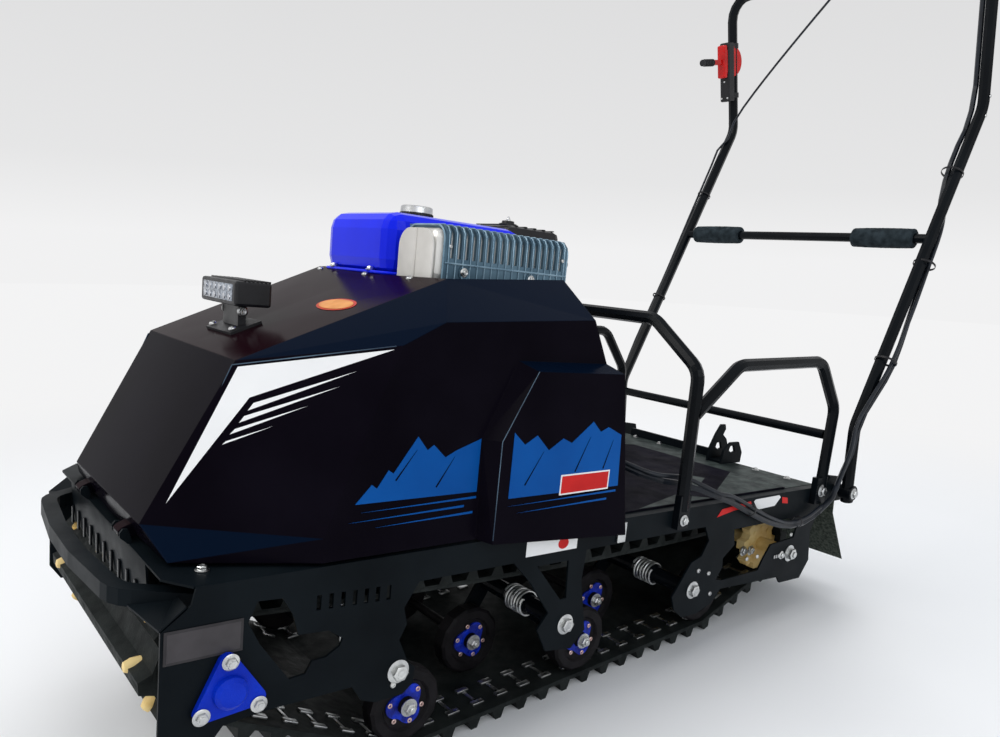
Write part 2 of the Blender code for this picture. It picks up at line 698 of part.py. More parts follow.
def make_rear():
    """The rear cross plate with its shelf and the handle's ears, the flap and the hitch."""
    top = -DECK_T - SEAT
    pieces = [box((PLATE_BACK, -EDGE_Y, -0.060), (PLATE_BACK + 0.004, EDGE_Y, top)),
              box((SHELF_BACK, -EAR_Y, SHELF_TOP - DECK_T), (PLATE_BACK - 0.0006, EAR_Y, SHELF_TOP))]
    for sign in (1, -1):
        low, high = sorted((sign * FACE_Y, sign * EAR_Y))
        ear = [(-0.716, -0.0365), (-0.716, -0.004), (-0.738, 0.026), (-0.785, 0.020),
               (-0.7975, -0.020), (-0.7975, -0.0365)]
        pieces.append(slab(ear, low, high))
        low, high = sorted((sign * (EDGE_Y - 0.010), sign * EAR_Y))
        pieces.append(box((-0.727, low, -0.034), (PLATE_BACK - 0.0003, high, -0.006)))
        low, high = sorted((sign * (EDGE_Y - 0.010), sign * (EDGE_Y - 0.004)))
        pieces.append(box((-0.7215, low, -0.034), (-0.718, high, -0.006)))
        low, high = sorted((sign * (EAR_Y - 0.002), sign * (HANDLE_Y - HANDLE_TUBE_R - SEAT)))
        pieces.append(rod((HANDLE_PIVOT[0], low, HANDLE_PIVOT[1]),
                          (HANDLE_PIVOT[0], high, HANDLE_PIVOT[1]), 0.010))
    add("rear_plate", combine(pieces), FRAME_BLACK)
    hem = SHELF_TOP - DECK_T - SEAT
    flap = [(SHELF_BACK, hem), (SHELF_BACK + 0.004, hem), (-0.7965, -0.071), (-0.881, -0.196),
            (-0.8845, -0.199), (-0.8005, -0.0725)]
    add("mud_flap", slab(flap, -EDGE_Y, EDGE_Y), RUBBER)
    make_hitch()


def make_hitch():
    """The towing hitch: a tall hooked ear, a low ear and the strip along the deck's end."""
    tall = [(-0.740, SEAT), (-0.660, SEAT), (-0.664, 0.032), (-0.682, 0.066), (-0.700, 0.090),
            (-0.716, 0.090), (-0.720, 0.078), (-0.712, 0.064), (-0.728, 0.052), (-0.742, 0.026)]
    low = [(-0.740, SEAT), (-0.660, SEAT), (-0.666, 0.034), (-0.690, 0.053), (-0.724, 0.053),
           (-0.742, 0.026)]
    eye = [(-0.712, 0.030), (-0.698, 0.026), (-0.686, 0.034), (-0.690, 0.044), (-0.704, 0.046)]
    inner, outer = HITCH_Y - 0.020, HITCH_Y + 0.020
    pieces = [
        slab(tall, inner - 0.003, inner + 0.003, [eye]),
        slab(low, outer - 0.003, outer + 0.003, [eye]),
        box((-0.736, inner, SEAT), (-0.664, outer, 0.006)),
        box((-0.719, 0.045 - EDGE_Y, SEAT), (-0.711, inner + 0.001, 0.021)),
    ]
    add("tow_hitch", combine(pieces), FRAME_BLACK)


def hood_surface():
    """Half of the hood's outer skin as an open surface, with the raised side panel."""
    side = PLATE_Y
    face = HOOD_FACE_Y
    low = HOOD_LIFT
    points = {
        "lip_mid": (0.697, 0.0, low), "lip": (0.688, 0.7544 * side, low),
        "low_mid": (0.7046, 0.0, 0.038), "low": (0.7046, 0.5554 * side, 0.038),
        "top_mid": (0.595, 0.0, 0.2495), "top": (0.595, 0.5939 * side, 0.2495),
        "open_mid": (0.296, 0.0, 0.376), "open": (0.290, 0.6665 * side, 0.380),
        "ridge": (0.055, 0.6742 * side, 0.397),
        "shoulder1": (0.422, side, 0.289), "shoulder2": (0.357, side, 0.322),
        "shoulder3": (0.072, side, 0.3385),
        "crease1": (0.519, side, 0.038), "skirt1": (0.519, side, low),
        "crease2": (0.275, side, 0.041), "skirt2": (0.272, side, low),
        "bulge_top1": (0.222, side, 0.272), "bulge_top2": (0.035, side, 0.270),
        "bulge_mid": (0.277, side, 0.156),
        "face_top1": (0.205, face, 0.260), "face_top2": (0.020, face, 0.257),
        "face_mid": (0.262, face, 0.158), "face_low1": (0.262, face, 0.004),
        "face_low2": (-0.030, face, -0.018),
    }
    faces = [
        ("lip_mid", "lip", "low", "low_mid"),
        ("low_mid", "low", "top", "top_mid"),
        ("top_mid", "top", "open", "open_mid"),
        ("top", "shoulder1", "shoulder2", "open"),
        ("open", "shoulder2", "shoulder3", "ridge"),
        ("low", "crease1", "shoulder1", "top"),
        ("lip", "skirt1", "crease1", "low"),
        ("skirt1", "skirt2", "crease2", "crease1"),
        ("crease1", "crease2", "bulge_mid", "bulge_top1", "bulge_top2", "shoulder3",
         "shoulder2", "shoulder1"),
        ("skirt2", "face_low1", "face_mid", "bulge_mid", "crease2"),
        ("bulge_mid", "face_mid", "face_top1", "bulge_top1"),
        ("bulge_top1", "face_top1", "face_top2", "bulge_top2"),
        ("face_low1", "face_low2", "face_top2", "face_top1", "face_mid"),
    ]
    bm = bmesh.new()
    verts = {name: bm.verts.new(place) for name, place in points.items()}
    for names in faces:
        bm.faces.new([verts[name] for name in names])
    mesh = bpy.data.meshes.new("hood")
    bm.to_mesh(mesh)
    bm.free()
    return mesh


def make_hood():
    """The hood: a folded shell, open below, behind and over the engine's top."""
    obj = temporary(hood_surface())
    mirror = obj.modifiers.new("mirror", "MIRROR")
    mirror.use_axis = (False, True, False)
    mirror.merge_threshold = 0.0001
    shell = obj.modifiers.new("shell", "SOLIDIFY")
    shell.thickness = HOOD_T
    shell.offset = -1.0
    shell.use_even_offset = True
    skin = bake(obj)
    pieces = [skin]
    x, z = HOOD_PIVOT
    lug = [(x - 0.0185, z - 0.0055), (x - 0.002, z - 0.0065), (x + 0.0055, z - 0.004),
           (x + 0.0065, z + 0.002), (x + 0.002, z + 0.0065), (x - 0.0115, z + 0.012)]
    reach = (HINGE_PIN_R + BORE_GAP) / math.cos(math.pi / 12)
    turns = [2 * math.pi * step / 12 for step in range(12)]
    bore = [(x + reach * math.cos(a), z + reach * math.sin(a)) for a in turns]
    half = HINGE_LUG_W / 2
    for sign in (1, -1):
        pieces.append(slab(lug, sign * HINGE_Y - half, sign * HINGE_Y + half, [bore]))
    add("hood", combine(pieces), HOOD_BLACK, HOOD)


def make_headlight():
    """The lamp bar on its foot, on the hood's slope."""
    lamp = box((0.500, -0.070, 0.312), (0.555, 0.070, 0.348), 0.004)
    slope = (0.376 - 0.2495) / (0.595 - 0.296)
    level = 0.2495 + slope * (0.595 - 0.528) + 0.0005
    tilt = math.atan(slope)
    foot = box((-0.025, -0.050, 0.0), (0.025, 0.050, 0.004))
    foot.transform(Matrix.Translation((0.528, 0.0, level)) @ Matrix.Rotation(tilt, 4, "Y"))
    stem = box((0.522, -0.030, level + 0.0025), (0.534, 0.030, 0.318))
    add("headlight", combine([lamp, stem, foot]), BLACK_PLASTIC, HOOD)


def make_engine():
    """The engine as one block, with its tank, muffler, guard and air filter on top."""
    block = box((-0.020, -0.190, SEAT), (0.270, 0.150, ENGINE_TOP), 0.010)
    add("engine_block", block, ENGINE_GREY)
    seat = ENGINE_TOP + SEAT
    tank = box((-0.005, -0.195, seat), (0.290, 0.036, 0.482), 0.030, 3)
    neck = rod((0.168, -0.080, 0.470), (0.168, -0.080, 0.4855), 0.022)
    add("fuel_tank", combine([tank, neck]), TANK_BLUE)
    cap = rod((0.168, -0.080, 0.4855 + SEAT), (0.168, -0.080, 0.503), 0.029, 20)
    add("fuel_cap", cap, STEEL)
    muffler = box((0.0, 0.044, seat), (0.276, 0.150, 0.457), 0.014)
    add("muffler", muffler, MUFFLER_GREY)
    make_muffler_guard()
    filter_box = box((-0.150, -0.150, 0.390), (-0.010, -0.030, 0.495), 0.014)
    post = box((-0.130, -0.100, 0.330), (-0.090, -0.060, 0.395))
    arm = box((-0.130, -0.100, 0.330), (-0.020 - SEAT, -0.060, 0.350))
    add("air_filter", combine([filter_box, post, arm]), BLACK_PLASTIC)


def make_muffler_guard():
    """The folded sheet over the muffler, slotted from its top round to its outer side."""
    outline = [(0.050, 0.4575), (0.143, 0.4575), (0.1505, 0.450), (0.1505, ENGINE_TOP + SEAT),
               (0.156, ENGINE_TOP + SEAT), (0.156, 0.4525), (0.1455, 0.463), (0.050, 0.463)]
    pieces = [slab(outline, 0.002, 0.262, plane="YZ")]
    start = 0.132 - (GUARD_SLOTS - 1) * GUARD_PITCH / 2 - GUARD_SLOT_W / 2
    for index in range(GUARD_SLOTS):
        x = start + index * GUARD_PITCH
        pieces.append(box((x, 0.066, 0.412), (x + GUARD_SLOT_W, 0.160, 0.470)))
    add("muffler_guard", combine(pieces, "DIFFERENCE"), GUARD_STEEL)


def make_rack():
    """The transverse hoop, the two side rails and the bar between them."""
    r = RACK_TUBE_R
    foot = SEAT
    hoop = rounded([(-0.205, RACK_Y, foot), (-0.200, RACK_Y, 0.262), (-0.196, 0.205, 0.345),
                    (-0.196, -0.205, 0.345), (-0.200, -RACK_Y, 0.262), (-0.205, -RACK_Y, foot)],
                   0.042, 4)
    pieces = [tube(hoop, r)]
    for sign in (1, -1):
        low, high = sorted((sign * FACE_Y, sign * (RACK_Y + 0.008)))
        pieces.append(box((-0.220, low, -0.034), (-0.190, high, 0.030)))
    add("rack_hoop", combine(pieces), TUBE_BLACK)
    for side, sign in (("left", 1), ("right", -1)):
        y = sign * RACK_Y
        route = rounded([(-0.200, y, 0.176), (-0.324, y, 0.273),
                         (-0.620, y, 0.285), (-0.705, y, 0.182), (-0.701, y, foot)], 0.045, 4)
        low, high = sorted((sign * FACE_Y, sign * (RACK_Y + 0.008)))
        tab = box((-0.714, low, -0.034), (-0.672, high, 0.026))
        leg = rod((-0.206, y, 0.0), (-0.200, y, 0.262), (r + SEAT) / math.cos(math.pi / 16))
        bar = combine([tube(route, r), leg], "DIFFERENCE")
        rail = combine([bar, tab])
        add(f"rack_rail_{side}", rail, TUBE_BLACK)
    reach = RACK_Y - r - SEAT
    bar = rod((-0.704, -reach, 0.120), (-0.704, reach, 0.120), CROSSBAR_R)
    add("rack_crossbar", bar, TUBE_BLACK)
    mat_y = EDGE_Y - 0.017
    add("deck_mat", box((-0.600, -mat_y, SEAT), (-0.060, mat_y, 0.003)), MAT_BLACK)


def handle_route():
    """The handle's tube from the left pivot over the top bar to the right pivot."""
    left = [(HANDLE_PIVOT[0], HANDLE_Y, HANDLE_PIVOT[1] - 0.018), (LEG_FOOT[0], HANDLE_Y, LEG_FOOT[1]),
            (LEG_BEND[0], HANDLE_Y, LEG_BEND[1]), (LEG_TOP[0], HANDLE_Y, LEG_TOP[1])]
    return rounded(left + [(x, -y, z) for x, y, z in reversed(left)], HANDLE_BEND_R, 5)


def leg_x(z):
    """Where a leg's centre line is at a height."""
    low, high = (LEG_FOOT, LEG_BEND) if z < LEG_BEND[1] else (LEG_BEND, LEG_TOP)
    return low[0] + (z - low[1]) / (high[1] - low[1]) * (high[0] - low[0])


def make_handle():
    """The U-shaped handle with its crossbar, pads and thumb throttle."""
    bar_z = 0.580
    bar_x = leg_x(bar_z)
    bar = rod((bar_x, -HANDLE_Y, bar_z), (bar_x, HANDLE_Y, bar_z), 0.011, 12)
    add("handle", combine([tube(handle_route(), HANDLE_TUBE_R), bar]), TUBE_BLACK, HANDLE)
    for side, sign in (("left", 1), ("right", -1)):
        low, high = sorted((sign * (HANDLE_Y - 0.185), sign * (HANDLE_Y - 0.035)))
        profile = [(high, 0.0115), (high, 0.018), (high - 0.012, 0.024), (low + 0.012, 0.024),
                   (low, 0.018), (low, 0.0115), (high, 0.0115)]
        add(f"crossbar_pad_{side}", turned(profile, (bar_x, bar_z)), FOAM, HANDLE)
    make_throttle()


def make_throttle():
    """The thumb throttle on the right leg, built along the leg's upper straight."""
    lean = math.atan2(LEG_TOP[0] - LEG_BEND[0], LEG_TOP[1] - LEG_BEND[1])
    place = Matrix.Translation((LEG_BEND[0], -HANDLE_Y, LEG_BEND[1])) @ Matrix.Rotation(lean, 4, "Y")
    face = HANDLE_TUBE_R + SEAT
    body = box((face, -0.016, 0.085), (face + 0.028, 0.016, 0.245), 0.004)
    cap = box((face + 0.0283, -0.013, 0.150), (face + 0.044, 0.013, 0.238), 0.004)
    arm = box((face + 0.038, -0.006, 0.186), (face + 0.084, 0.006, 0.200), 0.002)
    grip = rod((face + 0.0843, 0.0, 0.193), (face + 0.130, 0.0, 0.193), 0.009, 12)
    lever = combine([cap, arm])
    for name, mesh, mat in (("throttle_body", body, BLACK_PLASTIC),
                            ("throttle_lever", lever, RED_PLASTIC),
                            ("throttle_grip", grip, BLACK_PLASTIC)):
        mesh.transform(place)
        add(name, mesh, mat, HANDLE)


def make_cables():
    """The cables: a bundle out of the engine bay to the handle, and a thin one down its far leg."""
    out = PLATE_Y + 0.0165
    lower = [(-0.0206, 0.100, 0.120), (-0.045, 0.100, 0.120), (-0.085, 0.160, 0.095),
             (-0.150, 0.270, 0.058), (-0.222, 0.2965, 0.045), (-0.262, 0.316, 0.033),
             (-0.305, out, 0.018), (-0.353, out, 0.002), (-0.482, out, -0.050),
             (-0.572, out, -0.071), (-0.640, out, -0.070), (-0.684, out, -0.056),
             (-0.700, out, -0.047)]
    route = [Vector(lower[0]), *smooth_route(lower[1:], CABLE_STEP)]
    add("lower_cables", tube(route, CABLE_R, 1), CABLE_BLACK)
    beside = HANDLE_TUBE_R + CABLE_R + 2 * SEAT
    outer, inner = HANDLE_Y + 0.020, HANDLE_Y - beside
    climb = [(-0.7065, HANDLE_Y, 0.001), (-0.712, HANDLE_Y + 0.006, 0.040),
             (-0.716, outer, 0.100), (-0.727, outer, 0.160), (-0.773, outer + 0.001, 0.216),
             (-0.832, outer, 0.283), (-0.892, HANDLE_Y + 0.010, 0.385),
             (leg_x(0.500) - 0.026, HANDLE_Y + 0.002, 0.500),
             (leg_x(0.600) - 0.026, HANDLE_Y - 0.004, 0.600),
             (leg_x(0.665) - 0.018, HANDLE_Y - 0.017, 0.665),
             (leg_x(0.730), inner, 0.730), (leg_x(0.800) + 0.006, inner, 0.800),
             (leg_x(0.870), inner, 0.870), (leg_x(0.950), inner, 0.950)]
    lean = (Vector(LEG_TOP) - Vector(LEG_BEND)).normalized()
    under = Vector(LEG_TOP) - lean * beside
    over = rounded([climb[-1], (under.x, inner, under.y), (under.x, 0.0, under.y)],
                   HANDLE_BEND_R - beside, 4)
    bundle = tube(smooth_route(climb, CABLE_STEP) + over[1:], CABLE_R, 1)
    far = -(HANDLE_Y + HANDLE_TUBE_R + THIN_CABLE_R + 2 * SEAT)
    thin = [(under.x, 0.006, under.y), (under.x + 0.004, -0.020, under.y - 0.020),
            (-1.045, -0.200, 1.050), (leg_x(0.930) + 0.040, -0.310, 0.930),
            (leg_x(0.880) + 0.024, 0.014 - HANDLE_Y, 0.880),
            (leg_x(0.845) + 0.020, far + 0.007, 0.845), (leg_x(0.800) + 0.010, far, 0.800),
            (leg_x(0.640) + 0.006, far, 0.640), (leg_x(0.470), far, 0.470),
            (leg_x(0.390), far, 0.390), (leg_x(0.230), far, 0.230), (-0.752, far, 0.110),
            (-0.752, far, 0.050)]
    add("upper_cables", combine([bundle, tube(smooth_route(thin, CABLE_STEP), THIN_CABLE_R, 1)]),
        CABLE_BLACK, HANDLE)


def make_latch():
    """The hood's latch tab on the left side plate."""
    tab = box((-0.060, FACE_Y, -0.042), (-0.040, PLATE_Y + 0.005, -0.006), 0.001)
    add("hood_latch", tab, STEEL)


def stand():
    """Tip the chassis nose-up onto the ground and centre its length on the origin."""
    CHASSIS.rotation_euler = (0.0, -NOSE_UP, 0.0)
    CHASSIS.location = (0.0, 0.0, DECK_HEIGHT * math.cos(NOSE_UP))
    bpy.context.view_layer.update()
    meshes = [obj for obj in PARTS.objects if obj.type == "MESH"]
    reach = [(obj.matrix_world @ vert.co).x for obj in meshes for vert in obj.data.vertices]
    CHASSIS.location.x = -(min(reach) + max(reach)) / 2
    bpy.context.view_layer.update()


make_side_plates()
make_deck()
make_bumper()
make_track()
make_shafts()
make_suspension()
make_rollers()
make_flanges()
make_rear()
make_hood()
make_headlight()
make_engine()
make_rack()
make_handle()
make_latch()
make_cables()
stand()
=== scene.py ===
"""Looks of the motorized snow tow: finishes, fasteners, trim, cables, camera and light.

Pieces are written in the chassis's own coordinates (X forward, Y left, Z up from the
deck's top face) and turned into the frame's coordinates by PLACE.
"""
import json
import math
import random

import bmesh
import bpy
from mathutils import Matrix, Vector
from mathutils.bvhtree import BVHTree


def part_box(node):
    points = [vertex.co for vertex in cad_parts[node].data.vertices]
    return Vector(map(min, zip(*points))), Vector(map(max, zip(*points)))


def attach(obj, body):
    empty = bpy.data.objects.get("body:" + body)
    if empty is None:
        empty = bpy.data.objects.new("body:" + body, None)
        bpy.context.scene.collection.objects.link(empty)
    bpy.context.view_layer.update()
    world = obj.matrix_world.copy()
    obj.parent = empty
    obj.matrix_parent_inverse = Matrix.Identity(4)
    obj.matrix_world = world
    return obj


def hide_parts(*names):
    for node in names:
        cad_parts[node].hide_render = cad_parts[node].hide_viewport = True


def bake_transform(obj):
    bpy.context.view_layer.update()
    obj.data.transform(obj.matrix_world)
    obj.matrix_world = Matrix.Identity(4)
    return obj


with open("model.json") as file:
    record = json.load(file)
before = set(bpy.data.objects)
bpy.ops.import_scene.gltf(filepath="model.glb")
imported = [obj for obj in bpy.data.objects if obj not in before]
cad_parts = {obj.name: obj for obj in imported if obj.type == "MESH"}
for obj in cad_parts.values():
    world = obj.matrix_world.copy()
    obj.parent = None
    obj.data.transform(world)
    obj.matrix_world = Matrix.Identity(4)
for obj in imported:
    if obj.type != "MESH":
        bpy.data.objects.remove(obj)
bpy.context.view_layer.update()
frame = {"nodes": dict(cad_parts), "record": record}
NODES = frame["nodes"]

# The chassis stands nose-up, as in the CAD
NOSE_UP = math.radians(4.14)
DECK_HEIGHT = 0.345
PLATE_REAR = -0.721
PLATE_Y = 0.3115
SHIFT_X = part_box("side_plate_left")[0].x - PLATE_REAR * math.cos(NOSE_UP)
PLACE = (Matrix.Translation((SHIFT_X, 0.0, DECK_HEIGHT * math.cos(NOSE_UP)))
         @ Matrix.Rotation(-NOSE_UP, 4, "Y"))
INTO_CHASSIS = PLACE.inverted()

# The photograph's viewpoint in chassis coordinates
CAMERA_PLACE = (0.988, 1.2015, 0.38)
CAMERA_AZIMUTH = math.radians(49.598)
CAMERA_DIP = math.radians(9.359)
CAMERA_ROLL = math.radians(5.72)
FOCAL_PX = 801.07
IMAGE_SIZE = (1000, 737)
IMAGE_CENTRE = (509.0, 417.7)
SENSOR = 36.0


def make_camera():
    """The camera at the photograph's viewpoint, with the shift that its crop gives."""
    dip, turn = CAMERA_DIP, CAMERA_AZIMUTH
    look = Vector((-math.cos(dip) * math.cos(turn), -math.cos(dip) * math.sin(turn), -math.sin(dip)))
    level = look.cross(Vector((0.0, 0.0, 1.0))).normalized()
    above = level.cross(look)
    right = level * math.cos(CAMERA_ROLL) + above * math.sin(CAMERA_ROLL)
    up = above * math.cos(CAMERA_ROLL) - level * math.sin(CAMERA_ROLL)
    pose = Matrix((right, up, -look)).transposed().to_4x4()
    pose.translation = CAMERA_PLACE
    data = bpy.data.cameras.new("camera")
    data.sensor_width = SENSOR
    data.lens = FOCAL_PX * SENSOR / IMAGE_SIZE[0]
    data.shift_x = (IMAGE_SIZE[0] / 2 - IMAGE_CENTRE[0]) / IMAGE_SIZE[0]
    data.shift_y = (IMAGE_CENTRE[1] - IMAGE_SIZE[1] / 2) / IMAGE_SIZE[0]
    data.clip_start = 0.02
    camera = bpy.data.objects.new("camera", data)
    bpy.context.scene.collection.objects.link(camera)
    camera.matrix_world = PLACE @ pose
    bpy.context.scene.camera = camera


make_camera()


# Node helpers
def feed(tree, node, inputs):
    """Link outputs of other nodes to a node's inputs, and set plain values on the rest."""
    for key, value in inputs.items():
        if isinstance(value, bpy.types.NodeSocket):
            tree.links.new(value, node.inputs[key])
        else:
            node.inputs[key].default_value = value


def add(tree, kind, inputs, **settings):
    """A new shader node with its settings and inputs."""
    node = tree.nodes.new("ShaderNode" + kind)
    for key, value in settings.items():
        setattr(node, key, value)
    feed(tree, node, inputs)
    return node


def noise(tree, place, scale, detail):
    """A noise texture in object coordinates."""
    inputs = {"Scale": scale, "Detail": detail, "Vector": place.outputs["Object"]}
    return add(tree, "TexNoise", inputs).outputs["Fac"]


def ramp(tree, factor, stops):
    """A colour ramp with (position, colour) stops."""
    node = add(tree, "ValToRGB", {"Fac": factor})
    elements = node.color_ramp.elements
    while len(elements) < len(stops):
        elements.new(0.5)
    for element, (position, colour) in zip(elements, stops):
        element.position = position
        element.color = (*colour, 1.0)
    return node.outputs["Color"]


def spread(tree, factor, low, high):
    """A factor that averages a half, mapped onto a range."""
    inputs = {"From Min": 0.3, "From Max": 0.7, "To Min": low, "To Max": high, "Value": factor}
    return add(tree, "MapRange", inputs).outputs["Result"]


def node_of(tree, kind):
    """The first node of a kind in a tree."""
    return next(node for node in tree.nodes if node.bl_idname == "ShaderNode" + kind)


# Finishes
PLAIN_SHINE = 0.12


def finish(name, dark, light, gloss, metallic=0.0, patch=7.0, grain=500.0, relief=0.00015,
           shine=PLAIN_SHINE):
    """A procedural finish: two close colours in patches, uneven gloss and a fine grain."""
    mat = bpy.data.materials.new(name)
    mat.use_nodes = True
    tree = mat.node_tree
    place = add(tree, "TexCoord", {})
    tone = ramp(tree, noise(tree, place, patch, 4.0), [(0.35, dark), (0.65, light)])
    uneven = spread(tree, noise(tree, place, patch * 2.3, 5.0), *gloss)
    fine = noise(tree, place, grain, 3.0)
    bump = add(tree, "Bump", {"Distance": relief, "Strength": 1.0, "Height": fine})
    feed(tree, tree.nodes["Principled BSDF"], {
        "Metallic": metallic, "Specular IOR Level": shine, "Base Color": tone,
        "Roughness": uneven, "Normal": bump.outputs["Normal"]})
    return mat


def metal(name, dark, light, gloss, metallic, patch, grain=500.0, shine=PLAIN_SHINE):
    """Bare or thinly coated steel."""
    return finish(name, dark, light, gloss, metallic, patch, grain, 0.0001, shine)


def vinyl(name, dark, light, patch, gloss=(0.34, 0.44), shine=PLAIN_SHINE):
    """A smooth printed film."""
    return finish(name, dark, light, gloss, patch=patch, relief=0.00002, shine=shine)


WINE = (0.0085, 0.0016, 0.0036)
NAVY = (0.0016, 0.0052, 0.015)
FOLD_RADIUS = 0.0028


def folded_tone(tree, place, plain):
    """The hood's tint: plain on its sides, wine red on the slope and navy on the folds above."""
    split = add(tree, "SeparateXYZ", {"Vector": place.outputs["Normal"]})
    sideways = add(tree, "Math", {0: split.outputs["Y"]}, operation="ABSOLUTE")
    upper = ramp(tree, sideways.outputs["Value"], [(0.1, WINE), (0.2, NAVY)])
    rise = ramp(tree, split.outputs["Z"], [(0.55, (0.0, 0.0, 0.0)), (0.72, (1.0, 1.0, 1.0))])
    inputs = {"Factor": rise, "A": plain, "B": upper}
    return add(tree, "Mix", inputs, data_type="RGBA").outputs["Result"]


def hood_finish():
    """Glossy near-black sheet with a violet cast and rounded-looking folds."""
    mat = finish("hood_vinyl", (0.0028, 0.002, 0.0042), (0.0044, 0.0034, 0.0066), (0.14, 0.22),
                 grain=260.0, relief=0.00002, shine=0.012)
    tree = mat.node_tree
    colour = tree.nodes["Principled BSDF"].inputs["Base Color"]
    tone = folded_tone(tree, node_of(tree, "TexCoord"), colour.links[0].from_socket)
    tree.links.new(tone, colour)
    fold = add(tree, "Bevel", {"Radius": FOLD_RADIUS}, samples=4)
    feed(tree, node_of(tree, "Bump"), {"Normal": fold.outputs["Normal"]})
    return mat


FRAME_BLACK = finish(
    "powder_black", (0.0024, 0.004, 0.0056), (0.0052, 0.008, 0.0104), (0.36, 0.5),
    grain=900.0, relief=0.00008, shine=0.05)
TUBE_BLACK = finish(
    "gloss_black", (0.002, 0.003, 0.0044), (0.004, 0.0056, 0.0076), (0.2, 0.3),
    grain=700.0, relief=0.00005, shine=0.1)
HOOD_BLACK = hood_finish()
TRACK_RUBBER = finish(
    "track_rubber", (0.0065, 0.0085, 0.0085), (0.017, 0.0205, 0.02), (0.55, 0.74),
    patch=26.0, grain=420.0, relief=0.0005)
TYRE_RUBBER = finish(
    "roller_tyre", (0.004, 0.0036, 0.0044), (0.01, 0.0088, 0.0104), (0.46, 0.62),
    patch=30.0, grain=600.0, relief=0.0003)
CREAM = finish(
    "sprocket_cream", (0.74, 0.46, 0.12), (0.92, 0.7, 0.32), (0.36, 0.5), patch=24.0, relief=0.0002)
CAST_BLUE = finish(
    "cast_blue", (0.0015, 0.02, 0.4), (0.003, 0.032, 0.52), (0.24, 0.38),
    patch=22.0, grain=650.0, relief=0.0004, shine=0.1)
TANK_BLUE = finish(
    "tank_blue", (0.002, 0.012, 0.72), (0.004, 0.02, 0.88), (0.1, 0.16),
    patch=5.0, grain=300.0, relief=0.00003, shine=0.14)
ZINC = metal("zinc_steel", (0.46, 0.47, 0.48), (0.66, 0.67, 0.66), (0.24, 0.4), 1.0, 45.0, 800.0)
ENGINE_GREY = finish(
    "engine_cast", (0.05, 0.052, 0.056), (0.09, 0.092, 0.098), (0.45, 0.62), 0.5,
    patch=20.0, relief=0.0005)
MUFFLER_GREY = metal("muffler_steel", (0.6, 0.58, 0.54), (0.82, 0.8, 0.76), (0.28, 0.42), 0.25, 9.0)
GUARD_STEEL = metal(
    "guard_steel", (0.055, 0.105, 0.15), (0.12, 0.2, 0.26), (0.3, 0.42), 0.4, 14.0, 600.0)
# The guard's ribs and bars use a lighter, shinier copy of the guard's steel: a painted highlight on
# the raised ribs, with the slots between them left darker
LIT_RIB_STEEL = metal(
    "guard_ribs_painted_highlight", (0.15, 0.25, 0.33), (0.28, 0.41, 0.5), (0.24, 0.36), 0.4, 30.0, 600.0, 0.4)
BLACK_PLASTIC = finish(
    "moulded_plastic", (0.0045, 0.0045, 0.006), (0.01, 0.01, 0.0125), (0.3, 0.44),
    patch=24.0, grain=1100.0, relief=0.0002, shine=0.3)
MAT_BLACK = finish(
    "deck_mat", (0.0035, 0.0032, 0.0062), (0.0085, 0.0078, 0.0135), (0.46, 0.62),
    patch=12.0, relief=0.0004, shine=0.01)
DECK_BARE = finish(
    "deck_dusty", (0.014, 0.02, 0.02), (0.05, 0.064, 0.06), (0.46, 0.62), patch=26.0, relief=0.0002)
RED_PLASTIC = finish(
    "red_plastic", (0.42, 0.004, 0.004), (0.6, 0.008, 0.007), (0.16, 0.24),
    patch=30.0, relief=0.00005, shine=0.3)
GRIP_FOAM = finish(
    "grip_foam", (0.012, 0.018, 0.022), (0.03, 0.042, 0.05), (0.8, 0.92),
    patch=60.0, grain=1400.0, relief=0.0008)
CABLE_BLACK = finish(
    "cable_black", (0.003, 0.005, 0.009), (0.0075, 0.0115, 0.019), (0.34, 0.46),
    patch=40.0, grain=900.0, relief=0.0001, shine=0.35)
HUB_BLUE = finish(
    "hub_blue", (0.001, 0.006, 0.16), (0.003, 0.032, 0.55), (0.22, 0.4),
    patch=60.0, relief=0.0003, shine=0.25)
PINK_RIVET = metal(
    "coppered_rivet", (0.62, 0.4, 0.36), (0.8, 0.62, 0.58), (0.3, 0.45), 0.9, 90.0, 900.0)
SPRING_STEEL = metal(
    "spring_steel", (0.36, 0.37, 0.38), (0.64, 0.65, 0.64), (0.24, 0.42), 1.0, 70.0, 900.0)
WHITE_VINYL = vinyl("white_vinyl", (0.8, 0.8, 0.8), (0.85, 0.85, 0.85), 8.0, (0.3, 0.4))
BLUE_VINYL = vinyl("blue_vinyl", (0.0012, 0.066, 0.285), (0.0018, 0.082, 0.335), 8.0, shine=0.06)
AMBER_VINYL = vinyl("amber_vinyl", (0.66, 0.24, 0.05), (0.8, 0.36, 0.1), 40.0)
RIM_VINYL = vinyl("rim_vinyl", (0.46, 0.035, 0.014), (0.58, 0.055, 0.024), 40.0)
RED_VINYL = vinyl("red_vinyl", (0.52, 0.012, 0.012), (0.62, 0.018, 0.016), 20.0)
PLATE_GREY = finish(
    "plate_rim", (0.03, 0.028, 0.03), (0.044, 0.041, 0.044), (0.34, 0.44), 0.1,
    patch=30.0, relief=0.00005)
PLATE_DARK = finish(
    "plate_face", (0.052, 0.048, 0.051), (0.066, 0.061, 0.065), (0.34, 0.44), 0.1,
    patch=30.0, relief=0.00005)
# A lighter blue for the thin wires along the hood's creases: a painted highlight
FOLD_HIGHLIGHT_BLUE = vinyl("painted_fold_highlight", (0.03, 0.05, 0.08), (0.11, 0.17, 0.23), 9.0, (0.24, 0.34))
LENS = finish(
    "lamp_lens", (0.1, 0.115, 0.14), (0.42, 0.46, 0.52), (0.1, 0.22), 0.3,
    patch=190.0, grain=260.0, relief=0.0006, shine=0.5)
CHROME = metal("lamp_cup", (0.46, 0.48, 0.52), (0.66, 0.68, 0.72), (0.08, 0.18), 1.0, 60.0)
